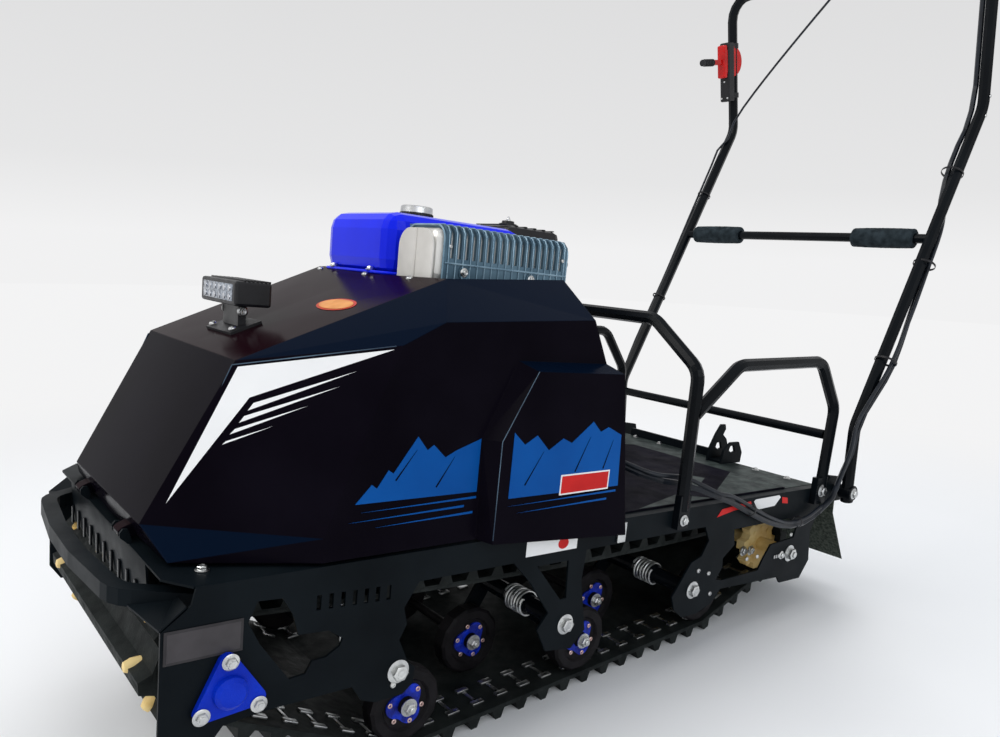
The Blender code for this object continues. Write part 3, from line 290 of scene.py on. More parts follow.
FLAP = finish(
    "flap_rubber", (0.02, 0.026, 0.022), (0.085, 0.1, 0.08), (0.62, 0.82),
    patch=150.0, grain=900.0, relief=0.0006)

SLOT_FINISH = {
    "frame_black": FRAME_BLACK, "tube_black": TUBE_BLACK, "hood_black": HOOD_BLACK,
    "track_rubber": TRACK_RUBBER, "roller_rubber": TYRE_RUBBER, "sprocket_cream": CREAM,
    "cast_blue": CAST_BLUE, "tank_blue": TANK_BLUE, "zinc_steel": ZINC,
    "engine_grey": ENGINE_GREY, "muffler_grey": MUFFLER_GREY, "guard_steel": GUARD_STEEL,
    "black_plastic": BLACK_PLASTIC, "deck_mat": MAT_BLACK, "red_plastic": RED_PLASTIC,
    "grip_foam": GRIP_FOAM, "cable_black": CABLE_BLACK,
}
ROUND_UP_TO = math.radians(32.0)


def dress_nodes():
    """Every CAD node that stays gets the finish of its slot in the record."""
    for part in frame["record"]["subparts"]:
        node = NODES[part["node"]]
        node.data.shade_smooth()
        node.data.set_sharp_from_angle(angle=ROUND_UP_TO)
        for slot in node.material_slots:
            slot.material = SLOT_FINISH[part["material_slot"]]


# Stage: a pale floor that fades into an even background in every direction
FLOOR_TONE = (0.9, 0.9, 0.9, 1.0)
FAR_TONE = (0.9, 0.9, 0.905, 1.0)
FADE_START = 1.2
FADE_END = 3.0
FLOOR_REACH = 12.0
SKY_STOPS = [(0.0, (0.88, 0.88, 0.885)), (0.08, (0.79, 0.79, 0.795)), (0.45, (0.68, 0.68, 0.685))]
SURROUND_TONE = (0.8, 0.84, 0.9, 1.0)
SURROUND_STRENGTH = 0.62
BODY_MIDDLE = (0.0, 0.0, 0.4)
WARM = (1.0, 0.98, 0.95)
COOL = (0.92, 0.96, 1.0)


def make_floor():
    """A wide disc whose lit surface gives way to plain background colour far out."""
    bm = bmesh.new()
    bmesh.ops.create_circle(bm, cap_ends=True, radius=FLOOR_REACH, segments=64)
    mesh = bpy.data.meshes.new("floor")
    bm.to_mesh(mesh)
    bm.free()
    floor = bpy.data.objects.new("floor", mesh)
    bpy.context.scene.collection.objects.link(floor)
    mat = bpy.data.materials.new("floor")
    mat.use_nodes = True
    tree = mat.node_tree
    shader = tree.nodes["Principled BSDF"]
    feed(tree, shader, {"Base Color": FLOOR_TONE, "Roughness": 0.9, "Specular IOR Level": 0.1})
    place = add(tree, "TexCoord", {})
    reach = add(tree, "VectorMath", {0: place.outputs["Object"]}, operation="LENGTH")
    inputs = {"From Min": FADE_START, "From Max": FADE_END, "Value": reach.outputs["Value"]}
    fade = add(tree, "MapRange", inputs, interpolation_type="SMOOTHSTEP")
    glow = add(tree, "Emission", {"Color": FAR_TONE})
    mix = add(tree, "MixShader", {"Fac": fade.outputs["Result"], 1: shader.outputs["BSDF"],
                                  2: glow.outputs["Emission"]})
    feed(tree, tree.nodes["Material Output"], {"Surface": mix.outputs["Shader"]})
    mesh.materials.append(mat)


def make_world():
    """A soft light all round, and a pale background for the camera, gloss and glass."""
    world = bpy.data.worlds.new("studio")
    bpy.context.scene.world = world
    world.use_nodes = True
    tree = world.node_tree
    soft = tree.nodes["Background"]
    feed(tree, soft, {"Color": SURROUND_TONE, "Strength": SURROUND_STRENGTH})
    place = add(tree, "TexCoord", {})
    split = add(tree, "SeparateXYZ", {"Vector": place.outputs["Generated"]})
    seen = add(tree, "Background", {"Color": ramp(tree, split.outputs["Z"], SKY_STOPS)})
    path = add(tree, "LightPath", {})
    shown = path.outputs["Is Camera Ray"]
    for kind in ("Is Glossy Ray", "Is Transmission Ray"):
        either = add(tree, "Math", {0: shown, 1: path.outputs[kind]}, operation="MAXIMUM")
        shown = either.outputs["Value"]
    mix = add(tree, "MixShader", {"Fac": shown, 1: soft.outputs["Background"],
                                  2: seen.outputs["Background"]})
    feed(tree, tree.nodes["World Output"], {"Surface": mix.outputs["Shader"]})


def soft_box(name, place, target, size, power, tint=(1.0, 1.0, 1.0), mirrored=True):
    """An area light at a place, facing a target."""
    data = bpy.data.lights.new(name, "AREA")
    data.shape = "RECTANGLE"
    data.size, data.size_y = size
    data.energy = power
    data.color = tint
    light = bpy.data.objects.new(name, data)
    bpy.context.scene.collection.objects.link(light)
    light.location = place
    light.visible_glossy = mirrored
    light.rotation_euler = (Vector(target) - Vector(place)).to_track_quat("-Z", "Y").to_euler()


def make_studio():
    """The floor, the surround and four soft lights."""
    make_floor()
    make_world()
    soft_box("key", (3.2, -0.6, 3.4), BODY_MIDDLE, (2.6, 2.6), 78.0, WARM)
    soft_box("side", (0.6, 3.8, 2.2), BODY_MIDDLE, (3.4, 1.8), 38.0, COOL)
    soft_box("back", (-3.2, -2.2, 2.8), BODY_MIDDLE, (2.4, 1.4), 42.0, mirrored=False)
    soft_box("top", (0.0, 0.0, 4.2), (0.0, 0.0, 0.0), (3.4, 3.4), 38.0, mirrored=False)
    bpy.context.scene.view_settings.view_transform = "Standard"


# Pieces
def piece(name, mesh, mat, body="chassis"):
    """A new piece given in chassis coordinates, riding on a body."""
    mesh.transform(PLACE)
    mesh.materials.clear()
    mesh.materials.append(mat)
    obj = bpy.data.objects.new(name, mesh)
    bpy.context.scene.collection.objects.link(obj)
    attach(obj, body)
    return obj


def group(name, meshes, mat, body="chassis"):
    """Several meshes as one piece."""
    return piece(name, merged(meshes), mat, body)


def pair(name, meshes, mat, body="chassis"):
    """Meshes and their mirror images as one piece."""
    return group(name, [*meshes, *(mirrored(mesh) for mesh in meshes)], mat, body)


# Mesh helpers, all in chassis coordinates
OUT = (0.0, 1.0, 0.0)
RIGHT = (0.0, -1.0, 0.0)
UP = (0.0, 0.0, 1.0)
AHEAD = (1.0, 0.0, 0.0)
BACK = (-1.0, 0.0, 0.0)


def to_mesh(bm, sharp=35.0):
    """A mesh with smooth round faces and sharp corners."""
    mesh = bpy.data.meshes.new("mesh")
    bm.to_mesh(mesh)
    bm.free()
    mesh.shade_smooth()
    mesh.set_sharp_from_angle(angle=math.radians(sharp))
    return mesh


def merged(meshes, sharp=35.0):
    """Several meshes as one."""
    bm = bmesh.new()
    for mesh in meshes:
        bm.from_mesh(mesh)
        bpy.data.meshes.remove(mesh)
    return to_mesh(bm, sharp)


def mirrored(mesh):
    """A copy reflected left to right."""
    copy = mesh.copy()
    copy.transform(Matrix.Scale(-1.0, 4, Vector(OUT)))
    copy.flip_normals()
    return copy


def moved(mesh, matrix):
    """The same mesh, transformed."""
    mesh.transform(matrix)
    return mesh


def arc(middle, radius, start=0.0, sweep=360.0, steps=8):
    """Points of an arc in a plane, from a starting angle in degrees, with both ends."""
    angles = [math.radians(start + sweep * step / steps) for step in range(steps + 1)]
    return [(middle[0] + radius * math.cos(a), middle[1] + radius * math.sin(a)) for a in angles]


def upright(points, y):
    """(x, z) points set at a distance from the middle."""
    return [(px, y, pz) for px, pz in points]


def facing(place, axis):
    """A matrix that takes Z onto an axis at a place."""
    turn = Vector(axis).to_track_quat("Z", "Y").to_matrix().to_4x4()
    return Matrix.Translation(place) @ turn


def lathe(profile, place, axis, steps=28):
    """A (height, radius) profile turned about an axis through a place."""
    bm = bmesh.new()
    verts = [bm.verts.new((radius, 0.0, height)) for height, radius in profile]
    edges = [bm.edges.new(ends) for ends in zip(verts, verts[1:])]
    bmesh.ops.spin(bm, geom=verts + edges, cent=(0, 0, 0), axis=(0, 0, 1), angle=2 * math.pi,
                   steps=steps)
    bmesh.ops.remove_doubles(bm, verts=bm.verts, dist=1e-6)
    bmesh.ops.recalc_face_normals(bm, faces=bm.faces)
    bm.transform(facing(place, axis))
    return to_mesh(bm)


def turned(profile, place, axis, steps=28):
    """A lathed solid, closed flat at both ends of its profile."""
    return lathe([(profile[0][0], 0.0), *profile, (profile[-1][0], 0.0)], place, axis, steps)


def box(low, high, bevel=0.0):
    """An upright box with rounded edges."""
    bm = bmesh.new()
    bmesh.ops.create_cube(bm, size=1.0)
    bmesh.ops.scale(bm, vec=Vector(high) - Vector(low), verts=bm.verts)
    bmesh.ops.translate(bm, vec=(Vector(high) + Vector(low)) / 2, verts=bm.verts)
    if bevel:
        bmesh.ops.bevel(bm, geom=bm.edges, offset=bevel, segments=2, profile=0.5, affect="EDGES")
    return to_mesh(bm)


def row(low, high, bevel, step, count):
    """A rounded box repeated along a step."""
    low, high, step = Vector(low), Vector(high), Vector(step)
    return [box(low + step * index, high + step * index, bevel) for index in range(count)]


def slab(outline, lift):
    """A flat outline given a thickness."""
    bm = bmesh.new()
    cap = bm.faces.new([bm.verts.new(point) for point in outline])
    lifted = bmesh.ops.extrude_face_region(bm, geom=[cap], use_keep_orig=True)["geom"]
    top = [item for item in lifted if isinstance(item, bmesh.types.BMVert)]
    bmesh.ops.translate(bm, vec=lift, verts=top)
    bmesh.ops.recalc_face_normals(bm, faces=bm.faces)
    bmesh.ops.triangulate(bm, faces=bm.faces)
    return to_mesh(bm)


def wire(route, radius, sides=4, cyclic=False):
    """A round wire along points."""
    curve = bpy.data.curves.new("route", "CURVE")
    curve.dimensions = "3D"
    curve.bevel_depth = radius
    curve.bevel_resolution = sides
    curve.use_fill_caps = True
    spline = curve.splines.new("POLY")
    spline.points.add(len(route) - 1)
    for target, point in zip(spline.points, route):
        target.co = (*point, 1.0)
    spline.use_cyclic_u = cyclic
    obj = bpy.data.objects.new("route", curve)
    bpy.context.scene.collection.objects.link(obj)
    graph = bpy.context.evaluated_depsgraph_get()
    mesh = bpy.data.meshes.new_from_object(obj.evaluated_get(graph))
    bpy.data.objects.remove(obj)
    bpy.data.curves.remove(curve)
    mesh.shade_smooth()
    return mesh


def smooth_route(points, step=0.012):
    """Points close together on a smooth curve through the given ones."""
    points = [Vector(point) for point in points]
    padded = [2 * points[0] - points[1], *points, 2 * points[-1] - points[-2]]
    route = []
    for a, b, c, d in zip(padded, padded[1:], padded[2:], padded[3:]):
        count = max(2, round((c - b).length / step))
        for index in range(count):
            t = index / count
            route.append(0.5 * ((2 * b) + (c - a) * t + (2 * a - 5 * b + 4 * c - d) * t * t
                                + (3 * b - a - 3 * c + d) * t * t * t))
    route.append(points[-1])
    return route


# Thin films on the hood and the frame
FILM = 0.0006
FILM_GAP = 0.00015
INSIDE = Vector((0.2, 0.0, 0.0))
RAY_START = 0.03


def outward(points):
    """The normal of a flat outline, turned away from the machine's middle."""
    normal = Vector((0.0, 0.0, 0.0))
    for here, after in zip(points, points[1:] + points[:1]):
        normal += here.cross(after)
    normal.normalize()
    return -normal if normal.dot(points[0] - INSIDE) < 0 else normal


def sticker(points, rise=FILM):
    """A thin patch on a flat face."""
    points = [Vector(point) for point in points]
    normal = outward(points)
    return slab([point + normal * FILM_GAP for point in points], normal * rise)


def hood_tree():
    """The hood's faces in chassis coordinates, ready for rays."""
    node = NODES["hood"]
    corners = [INTO_CHASSIS @ (node.matrix_world @ vert.co) for vert in node.data.vertices]
    return BVHTree.FromPolygons(corners, [list(face.vertices) for face in node.data.polygons])


HOOD_TREE = hood_tree()


def draped(points, cuts, rise=FILM):
    """A sticker that follows the hood's faces closely."""
    points = [Vector(point) for point in points]
    normal = outward(points)
    bm = bmesh.new()
    bm.faces.new([bm.verts.new(point) for point in points])
    bmesh.ops.triangulate(bm, faces=bm.faces)
    bmesh.ops.subdivide_edges(bm, edges=bm.edges, cuts=cuts, use_grid_fill=True)
    bmesh.ops.triangulate(bm, faces=bm.faces)
    for vert in bm.verts:
        spot = HOOD_TREE.ray_cast(vert.co + normal * RAY_START, -normal)[0]
        if spot is not None:
            vert.co = spot + normal * rise
    bmesh.ops.recalc_face_normals(bm, faces=bm.faces)
    if next(iter(bm.faces)).normal.dot(normal) < 0:
        bmesh.ops.reverse_faces(bm, faces=bm.faces)
    return to_mesh(bm)


# Fasteners
HEX_EDGE = 25.0


def corner_radius(across):
    """From a hexagon's width across its flats to its corners."""
    return across / 2 / math.cos(math.pi / 6)


def hex_head(place, axis, across):
    """A hexagon head on a round flange."""
    r = corner_radius(across)
    high = across * 0.45
    flange = turned([(0.0, across * 0.82), (0.001, across * 0.84), (0.0022, across * 0.66)],
                    place, axis, 24)
    head = turned([(0.001, r), (high, r), (high + 0.001, r * 0.86)], place, axis, 6)
    dent = turned([(high + 0.0009, r * 0.62), (high + 0.0016, r * 0.58), (high + 0.0006, r * 0.2)],
                  place, axis, 18)
    return merged([flange, head, dent], HEX_EDGE)


def nut(place, axis, across):
    """A hexagon nut on a washer, with the end of its stud."""
    r = corner_radius(across)
    high = across * 0.5
    washer = turned([(0.0, across * 0.85), (0.0014, across * 0.85)], place, axis, 24)
    body = turned([(0.001, r), (high, r), (high + 0.0012, r * 0.84)], place, axis, 6)
    stud = turned([(0.001, across * 0.3), (high + 0.0042, across * 0.3),
                   (high + 0.005, across * 0.24)], place, axis, 18)
    return merged([washer, body, stud], HEX_EDGE)


def rivet(place, axis, radius):
    """A hollow rivet's rolled ring."""
    return lathe([(0.0, radius * 0.35), (0.0, radius), (0.0012, radius), (0.0018, radius * 0.82),
                  (0.0018, radius * 0.55), (0.001, radius * 0.42), (0.0, radius * 0.35)],
                 place, axis, 18)


def round_head(place, axis, radius):
    """A domed screw head with a socket."""
    shares = ((0.0, 1.0), (0.25, 0.96), (0.5, 0.75), (0.58, 0.45), (0.25, 0.42))
    return turned([(radius * high, radius * wide) for high, wide in shares], place, axis, 20)


def each(head, places, axis, size):
    """A fastener of one kind at each place."""
    return [head(place, axis, size) for place in places]


PLATE_FACE = PLATE_Y + 0.0002
FLANGE_RISE = 0.0083
FOOT_RISE = 0.0147
INNER_BOLT_Y = 0.2362
PIVOTS = ((0.39, -0.176), (0.062, -0.172), (-0.283, -0.172))
DRIVE_AXLE = (0.636, -0.138)
TENSION_AXLE = (-0.624, -0.145)
SMALL_BOLTS = ((-0.329, -0.145), (-0.294, -0.134), (-0.619, -0.101), (0.397, -0.195),
               (-0.343, -0.19), (-0.458, -0.134), (-0.496, -0.134))
FLANGE_BOLTS = ((0.637, -0.099), (0.67, -0.162), (0.599, -0.164))
INNER_BOLTS = ((-0.561, -0.156), (-0.59, -0.158))


def make_plate_fasteners():
    """Bolts of the side plates, pivots, flanges, rack feet and handle, on both sides."""
    bolts = each(hex_head, upright(PIVOTS, PLATE_FACE), OUT, 0.021)
    bolts += each(round_head, upright(SMALL_BOLTS, PLATE_FACE), OUT, 0.0048)
    bolts += each(hex_head, upright(FLANGE_BOLTS, PLATE_FACE + FLANGE_RISE), OUT, 0.013)
    bolts.append(nut((TENSION_AXLE[0], PLATE_FACE, TENSION_AXLE[1]), OUT, 0.022))
    bolts.append(hex_head((-0.592, PLATE_FACE, -0.145), OUT, 0.011))
    bolts.append(hex_head((-0.205, PLATE_FACE + FOOT_RISE, -0.017), OUT, 0.013))
    bolts.append(hex_head((-0.693, PLATE_FACE + FOOT_RISE, -0.004), OUT, 0.017))
    bolts += each(hex_head, upright(INNER_BOLTS, INNER_BOLT_Y), OUT, 0.014)
    pair("plate_fasteners", bolts, ZINC)
    threads = row((-0.566, PLATE_FACE, -0.149), (-0.562, PLATE_FACE + 0.002, -0.141), 0.0008,
                  (-0.008, 0.0, 0.0), 3)
    pair("tension_threads", threads, ZINC)
    ends = [hex_head((-0.766, PLATE_Y + 0.0525, -0.0075), OUT, 0.015)]
    pair("handle_bolts", ends, ZINC, "handle")


# Rollers, springs and belt
ROLLER_FACE = 0.016
OUTER_Y = 0.229
INNER_Y = 0.118
HUB_REACH = 0.0355
HUB_WAIST = 0.024
HUB_STEPS = 48
RIVET_CIRCLE = 0.03
COIL_Y = 0.1956
COIL_R = 0.0212
COIL_WIRE = 0.0024
COIL_LENGTH = 0.047
COIL_STEPS = 192
COIL_TURNS = 6


def centre(node):
    """The middle of a CAD node's box."""
    low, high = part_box(node)
    return INTO_CHASSIS @ ((low + high) / 2)


def lobed(place):
    """A hub plate's three-lobed outline round a place, as (x, z) points."""
    points = []
    for step in range(HUB_STEPS):
        angle = 2 * math.pi * step / HUB_STEPS
        swell = (0.5 + 0.5 * math.cos(3 * angle)) ** 0.8
        radius = HUB_WAIST + (HUB_REACH - HUB_WAIST) * swell
        points.append((place[0] + radius * math.cos(angle), place[1] + radius * math.sin(angle)))
    return points


def make_hubs():
    """Blue hub plates with their rivets and axle nuts, on the rollers' outer faces."""
    plates, rings, nuts = [], [], []
    sites = [(centre(f"outer_roller_{key}_left"), OUTER_Y) for key in ("front", "middle", "rear")]
    sites += [(centre(f"inner_rollers_{key}"), INNER_Y) for key in ("middle", "rear")]
    for spot, y in sites:
        middle = (spot.x, spot.z)
        face = y + ROLLER_FACE - 0.0048
        plates.append(slab(upright(lobed(middle), face), (0.0, 0.003, 0.0)))
        circle = arc(middle, RIVET_CIRCLE, 12.0, steps=6)[:-1]
        rings += each(rivet, upright(circle, face + 0.0028), OUT, 0.0042)
        nuts.append(nut((spot.x, y + ROLLER_FACE + 0.0069, spot.z), OUT, 0.017))
    pair("hub_plates", plates, HUB_BLUE)
    pair("hub_rivets", rings, PINK_RIVET)
    pair("axle_nuts", nuts, ZINC)


def make_springs():
    """The steel torsion springs wound on the pivot tubes, with their bent tails."""
    springs = []
    for x, z in PIVOTS:
        route = []
        for step in range(COIL_STEPS + 1):
            share = step / COIL_STEPS
            angle = share * COIL_TURNS * 2 * math.pi + 0.6
            y = COIL_Y + (share - 0.5) * COIL_LENGTH
            route.append((x + COIL_R * math.cos(angle), y, z + COIL_R * math.sin(angle)))
        last = Vector(route[-1])
        route += [last + Vector((-0.01, 0.002, -0.004)), last + Vector((-0.024, 0.003, -0.014))]
        springs.append(wire(route, COIL_WIRE, 3))
    pair("torsion_springs", springs, SPRING_STEEL)


BELT_PITCH = 0.052
BELT_SAG = 0.02
WHEEL_LINE = 0.0621
ROLLER_LINE = 0.0631


def belt_ring():
    """Points and outward normals of the belt's inner face round its four wheels."""
    front = centre("outer_roller_front_left")
    rear = centre("outer_roller_rear_left")
    wheels = [(Vector(DRIVE_AXLE), WHEEL_LINE), (Vector((front.x, front.z)), ROLLER_LINE),
              (Vector((rear.x, rear.z)), ROLLER_LINE), (Vector(TENSION_AXLE), WHEEL_LINE)]
    spans = []
    for (c0, r0), (c1, r1) in zip(wheels, wheels[1:] + wheels[:1]):
        line = c1 - c0
        spans.append(math.atan2(line.y, line.x) + math.pi / 2 - math.asin((r0 - r1) / line.length))
    ring = []
    for index, (spot, radius) in enumerate(wheels):
        start = spans[index - 1]
        sweep = (start - spans[index]) % (2 * math.pi)
        count = max(2, math.ceil(sweep / math.radians(6)))
        for step in range(count + 1):
            angle = start - sweep * step / count
            normal = Vector((math.cos(angle), math.sin(angle)))
            ring.append((spot + normal * radius, normal))
    return ring


def belt_stations(offset):
    """Evenly spaced places on the belt's inner face as (x, z, angle of the outward normal)."""
    ring = belt_ring()
    places = []
    edges = list(zip(ring, ring[1:] + ring[:1]))
    total = sum((b[0] - a[0]).length for a, b in edges)
    count = round(total / BELT_PITCH)
    pitch = total / count
    walked, wanted = 0.0, offset * pitch
    for index, ((here, n0), (after, n1)) in enumerate(edges):
        length = (after - here).length
        while wanted < walked + length and len(places) < count:
            share = (wanted - walked) / length
            normal = n0.lerp(n1, share).normalized()
            point = here.lerp(after, share)
            if index == len(edges) - 1:
                point = point - normal * BELT_SAG * 4 * share * (1 - share)
            places.append((point.x, point.y, math.atan2(normal.y, normal.x)))
            wanted += pitch
        walked += length
    return places


def belt_row(stations, span, half, heights, bevel):
    """A rounded block at each station, across a span of Y and between two heights."""
    blocks = []
    for x, z, angle in stations:
        turn = Matrix.Rotation(-(angle - math.pi / 2), 4, "Y")
        block = box((-half, span[0], heights[0]), (half, span[1], heights[1]), bevel)
        blocks.append(moved(block, Matrix.Translation((x, 0.0, z)) @ turn))
    return blocks


def make_belt_details():
    """Steel clips inside the belt, worn ribs on it and the moulded cords of its edges."""
    clips, ribs = [], []
    between = belt_stations(0.5)
    for y in (0.176, 0.222):
        clips += belt_row(between, (y - 0.0055, y + 0.0055), 0.012, (-0.0034, 0.0014), 0.0012)
    clips += belt_row(between, (0.183, 0.215), 0.003, (-0.0014, 0.0008), 0.0006)
    lugs = belt_stations(0.0)
    for y in (0.045, 0.105, 0.165, 0.225):
        ribs += belt_row(lugs, (y - 0.019, y + 0.019), 0.0042, (0.0225, 0.0249), 0.0012)
    quarters = belt_stations(0.25) + belt_stations(0.75)
    rims = belt_row(quarters, (0.2425, 0.2506), 0.01, (0.0012, 0.007), 0.0014)
    pair("belt_clips", clips, ZINC)
    pair("belt_ribs", ribs, TRACK_RUBBER)
    pair("belt_rims", rims, TRACK_RUBBER)


def make_sprocket_tips():
    """The drive teeth that show through the belt's windows, and bosses on the sprockets."""
    tips = []
    tooth = [(0.0, 0.0), (0.0, 0.011), (0.026, 0.01), (0.0345, 0.0065), (0.0365, 0.0)]
    for axle, y in ((DRIVE_AXLE, 0.2), (TENSION_AXLE, 0.226)):
        hub = Vector((axle[0], 0.0, axle[1]))
        for index in range(8):
            angle = 2 * math.pi * index / 8
            heading = Vector((math.cos(angle), 0.0, -math.sin(angle)))
            if axle is DRIVE_AXLE and heading.x > 0.2:
                root = hub + heading * 0.056 + Vector((0.0, y, 0.0))
                tips.append(lathe(tooth, root, heading, 16))
            boss = hub + heading * 0.036 + Vector((0.0, y + 0.0098, 0.0))
            tips.append(turned([(0.0, 0.0055), (0.0016, 0.005)], boss, OUT, 16))
    pair("sprocket_tips", tips, CREAM)


# Hood trim
FLASH = ((0.593, 0.1891, 0.2417), (0.4314, 0.3059, 0.2827), (0.583, 0.2088, 0.2044),
         (0.676, 0.1852, 0.0656))
STREAKS = (
    ((0.5859, 0.2122, 0.1878), (0.5793, 0.2138, 0.1979), (0.472, 0.2834, 0.2503)),
    ((0.5957, 0.21, 0.1719), (0.5898, 0.2116, 0.1808), (0.4905, 0.2752, 0.229)),
    ((0.6064, 0.2073, 0.1562), (0.6003, 0.2093, 0.1637), (0.5246, 0.2567, 0.2006)),
    ((0.6148, 0.2054, 0.143), (0.6107, 0.2069, 0.1477), (0.5609, 0.2366, 0.1713)),
)
PEAKS_FRONT = ((0.478, 0.079), (0.455, 0.104), (0.447, 0.098), (0.431, 0.122), (0.423, 0.117),
               (0.388, 0.166), (0.371, 0.146), (0.361, 0.153), (0.34, 0.134), (0.322, 0.143),
               (0.279, 0.158), (0.279, 0.079))
PEAKS_REAR = ((0.241, 0.072), (0.241, 0.171), (0.219, 0.152), (0.196, 0.165), (0.17, 0.141),
              (0.142, 0.158), (0.123, 0.15), (0.08, 0.182), (0.061, 0.165), (0.044, 0.172),
              (0.012, 0.158), (0.006, 0.072))
SNOW_LINES = (((0.468, 0.067), (0.279, 0.0705)), ((0.486, 0.0545), (0.3, 0.059)),
              ((0.445, 0.044), (0.283, 0.048)), ((0.24, 0.06), (0.01, 0.064)),
              ((0.222, 0.048), (0.03, 0.052)))
VALLEYS_FRONT = ((0.419, 0.107, 0.388, 0.148), (0.352, 0.092, 0.324, 0.134))
VALLEYS_REAR = ((0.212, 0.09, 0.18, 0.14), (0.11, 0.103, 0.083, 0.158), (0.047, 0.104, 0.03, 0.15))
SIDE_Y = 0.3115
PANEL_Y = 0.34
PANEL_FRONT = 0.26


def make_flash():
    """The white flash and its four streaks on each front corner."""
    marks = [draped(FLASH, 14)] + [draped(streak, 10) for streak in STREAKS]
    pair("white_flash", marks, WHITE_VINYL, "hood")


def make_peaks():
    """A plain design of blue peaks over snow lines, in place of the original drawing."""
    marks, lines = [], []
    for outline, valleys, y in ((PEAKS_FRONT, VALLEYS_FRONT, SIDE_Y),
                                (PEAKS_REAR, VALLEYS_REAR, PANEL_Y)):
        marks.append(sticker(upright(outline, y)))
        for x0, z0, x1, z1 in valleys:
            run = Vector((x1 - x0, 0.0, z1 - z0)).normalized()
            side = Vector((run.z, 0.0, -run.x)) * 0.0011
            foot, tip = Vector((x0, y + FILM, z0)), Vector((x1, y + FILM, z1))
            lines.append(sticker((foot - side, foot + side, tip)))
    for (x0, z0), (x1, z1) in SNOW_LINES:
        y = PANEL_Y if x0 < PANEL_FRONT else SIDE_Y
        marks.append(sticker(((x0, y, z0), (x1, y, z1 + 0.002), (x1, y, z1 - 0.0014))))
    pair("blue_peaks", marks, BLUE_VINYL, "hood")
    pair("peak_lines", lines, HOOD_BLACK, "hood")


RIM_MIDDLE = (0.416, 0.107, 0.3255)
CORE_MIDDLE = (0.4165, 0.107, 0.326)
SLOPE = Vector((-0.923, 0.0, 0.39))
THIN_FILM = 0.0004
THICK_FILM = 0.0005
RED_LABEL = ((0.1357, 0.0975), (0.0323, 0.0985), (0.0323, 0.0715), (0.1357, 0.07))
RED_BORDER = ((0.1385, 0.1), (0.0295, 0.101), (0.0295, 0.069), (0.1385, 0.0675))
PALE_LABEL = ((0.168, -0.012), (0.056, -0.012), (0.056, -0.0385), (0.168, -0.0385))
REAR_STREAK = ((-0.33, -0.029), (-0.344, -0.014), (-0.44, -0.007), (-0.448, -0.018),
               (-0.385, -0.021))
REAR_TAIL = ((-0.558, -0.009), (-0.58, -0.013), (-0.584, -0.026), (-0.562, -0.023))
SHIELD = ((-0.452, -0.009), (-0.458, -0.005), (-0.545, -0.004), (-0.552, -0.009),
          (-0.533, -0.026), (-0.47, -0.028))


def oval(middle, along, across):
    """An ellipse of points from its middle and half axes."""
    along, across = Vector(along), Vector(across)
    return [Vector(middle) + along * x + across * y for x, y in arc((0.0, 0.0), 1.0, steps=40)[:-1]]


def label(name, outline, y, rise, mat, body="chassis"):
    """A flat sticker on a side, as a piece."""
    piece(name, sticker(upright(outline, y), rise), mat, body)


def make_labels():
    """The bare stickers: an oval on the slope, a red label, and the frame's plates."""
    rim = oval(RIM_MIDDLE, (0.0, 0.05, 0.0), SLOPE * 0.0225)
    core = oval(CORE_MIDDLE, (0.0, 0.0445, 0.0), SLOPE * 0.018)
    piece("oval_rim", draped(rim, 1), RIM_VINYL, "hood")
    piece("oval_core", draped(core, 1, FILM * 2), AMBER_VINYL, "hood")
    label("red_label", RED_LABEL, PANEL_Y + FILM, THICK_FILM, RED_VINYL, "hood")
    label("red_label_border", RED_BORDER, PANEL_Y + FILM / 2, THIN_FILM, WHITE_VINYL, "hood")
    plate = box((0.62, PLATE_FACE, -0.0905), (0.7135, PLATE_FACE + 0.0012, -0.0485), 0.0005)
    piece("blank_plate", plate, PLATE_GREY)
    inner = box((0.6235, PLATE_FACE + 0.001, -0.087), (0.71, PLATE_FACE + 0.0015, -0.052), 0.0002)
    piece("blank_plate_face", inner, PLATE_DARK)
    label("pale_label", PALE_LABEL, PLATE_FACE, THICK_FILM, WHITE_VINYL)
    dot = oval((0.088, PLATE_FACE + 0.0004, -0.0255), (0.0115, 0.0, 0.0), (0.0, 0.0, 0.0095))
    piece("pale_label_dot", sticker(dot, THICK_FILM), RED_VINYL)
    streaks = [sticker(upright(points, PLATE_FACE), THIN_FILM) for points in (REAR_STREAK, REAR_TAIL)]
    group("rear_streak", streaks, RED_VINYL)
    label("rear_shield", SHIELD, PLATE_FACE, THICK_FILM, WHITE_VINYL)


NOSE_LOW = (0.6845, 0.179, 0.0415)
NOSE_HIGH = (0.599, 0.1843, 0.2436)
BROW = (0.43, 0.3065, 0.2872)
PANEL_FOLD = ((0.262, PANEL_Y, 0.01), (0.262, PANEL_Y, 0.158), (0.205, PANEL_Y, 0.26))
ABOVE_HOOD = 0.7
HOOD_SCREWS = ((0.3, -0.185), (0.3, -0.02), (0.3, 0.12), (0.02, -0.226), (0.15, -0.226),
               (0.02, 0.196), (0.15, 0.196))


def make_fold_highlights_and_screws():
    """Painted highlights along the hood's folds, as thin light-blue wires, and the screws beside its
    opening.
    """
    folds = ((NOSE_LOW, NOSE_HIGH), (NOSE_HIGH, BROW), PANEL_FOLD[:2], PANEL_FOLD[1:])
    # The wires along the folds carry a painted highlight
    pair("painted_fold_highlights", [wire(fold, 0.0007, 2) for fold in folds], FOLD_HIGHLIGHT_BLUE, "hood")
    heads = []
    for x, y in HOOD_SCREWS:
        spot, normal = HOOD_TREE.ray_cast(Vector((x, y, ABOVE_HOOD)), -Vector(UP))[:2]
        if spot is not None:
            heads.append(round_head(spot, normal if normal.z > 0 else -normal, 0.0055))
    group("hood_screws", heads, ZINC, "hood")


# Lamp, tank, muffler, filter and engine
CUP = [(0.0, 0.0), (0.0, 0.0046), (0.0012, 0.0044), (0.0006, 0.0028), (0.0002, 0.0)]


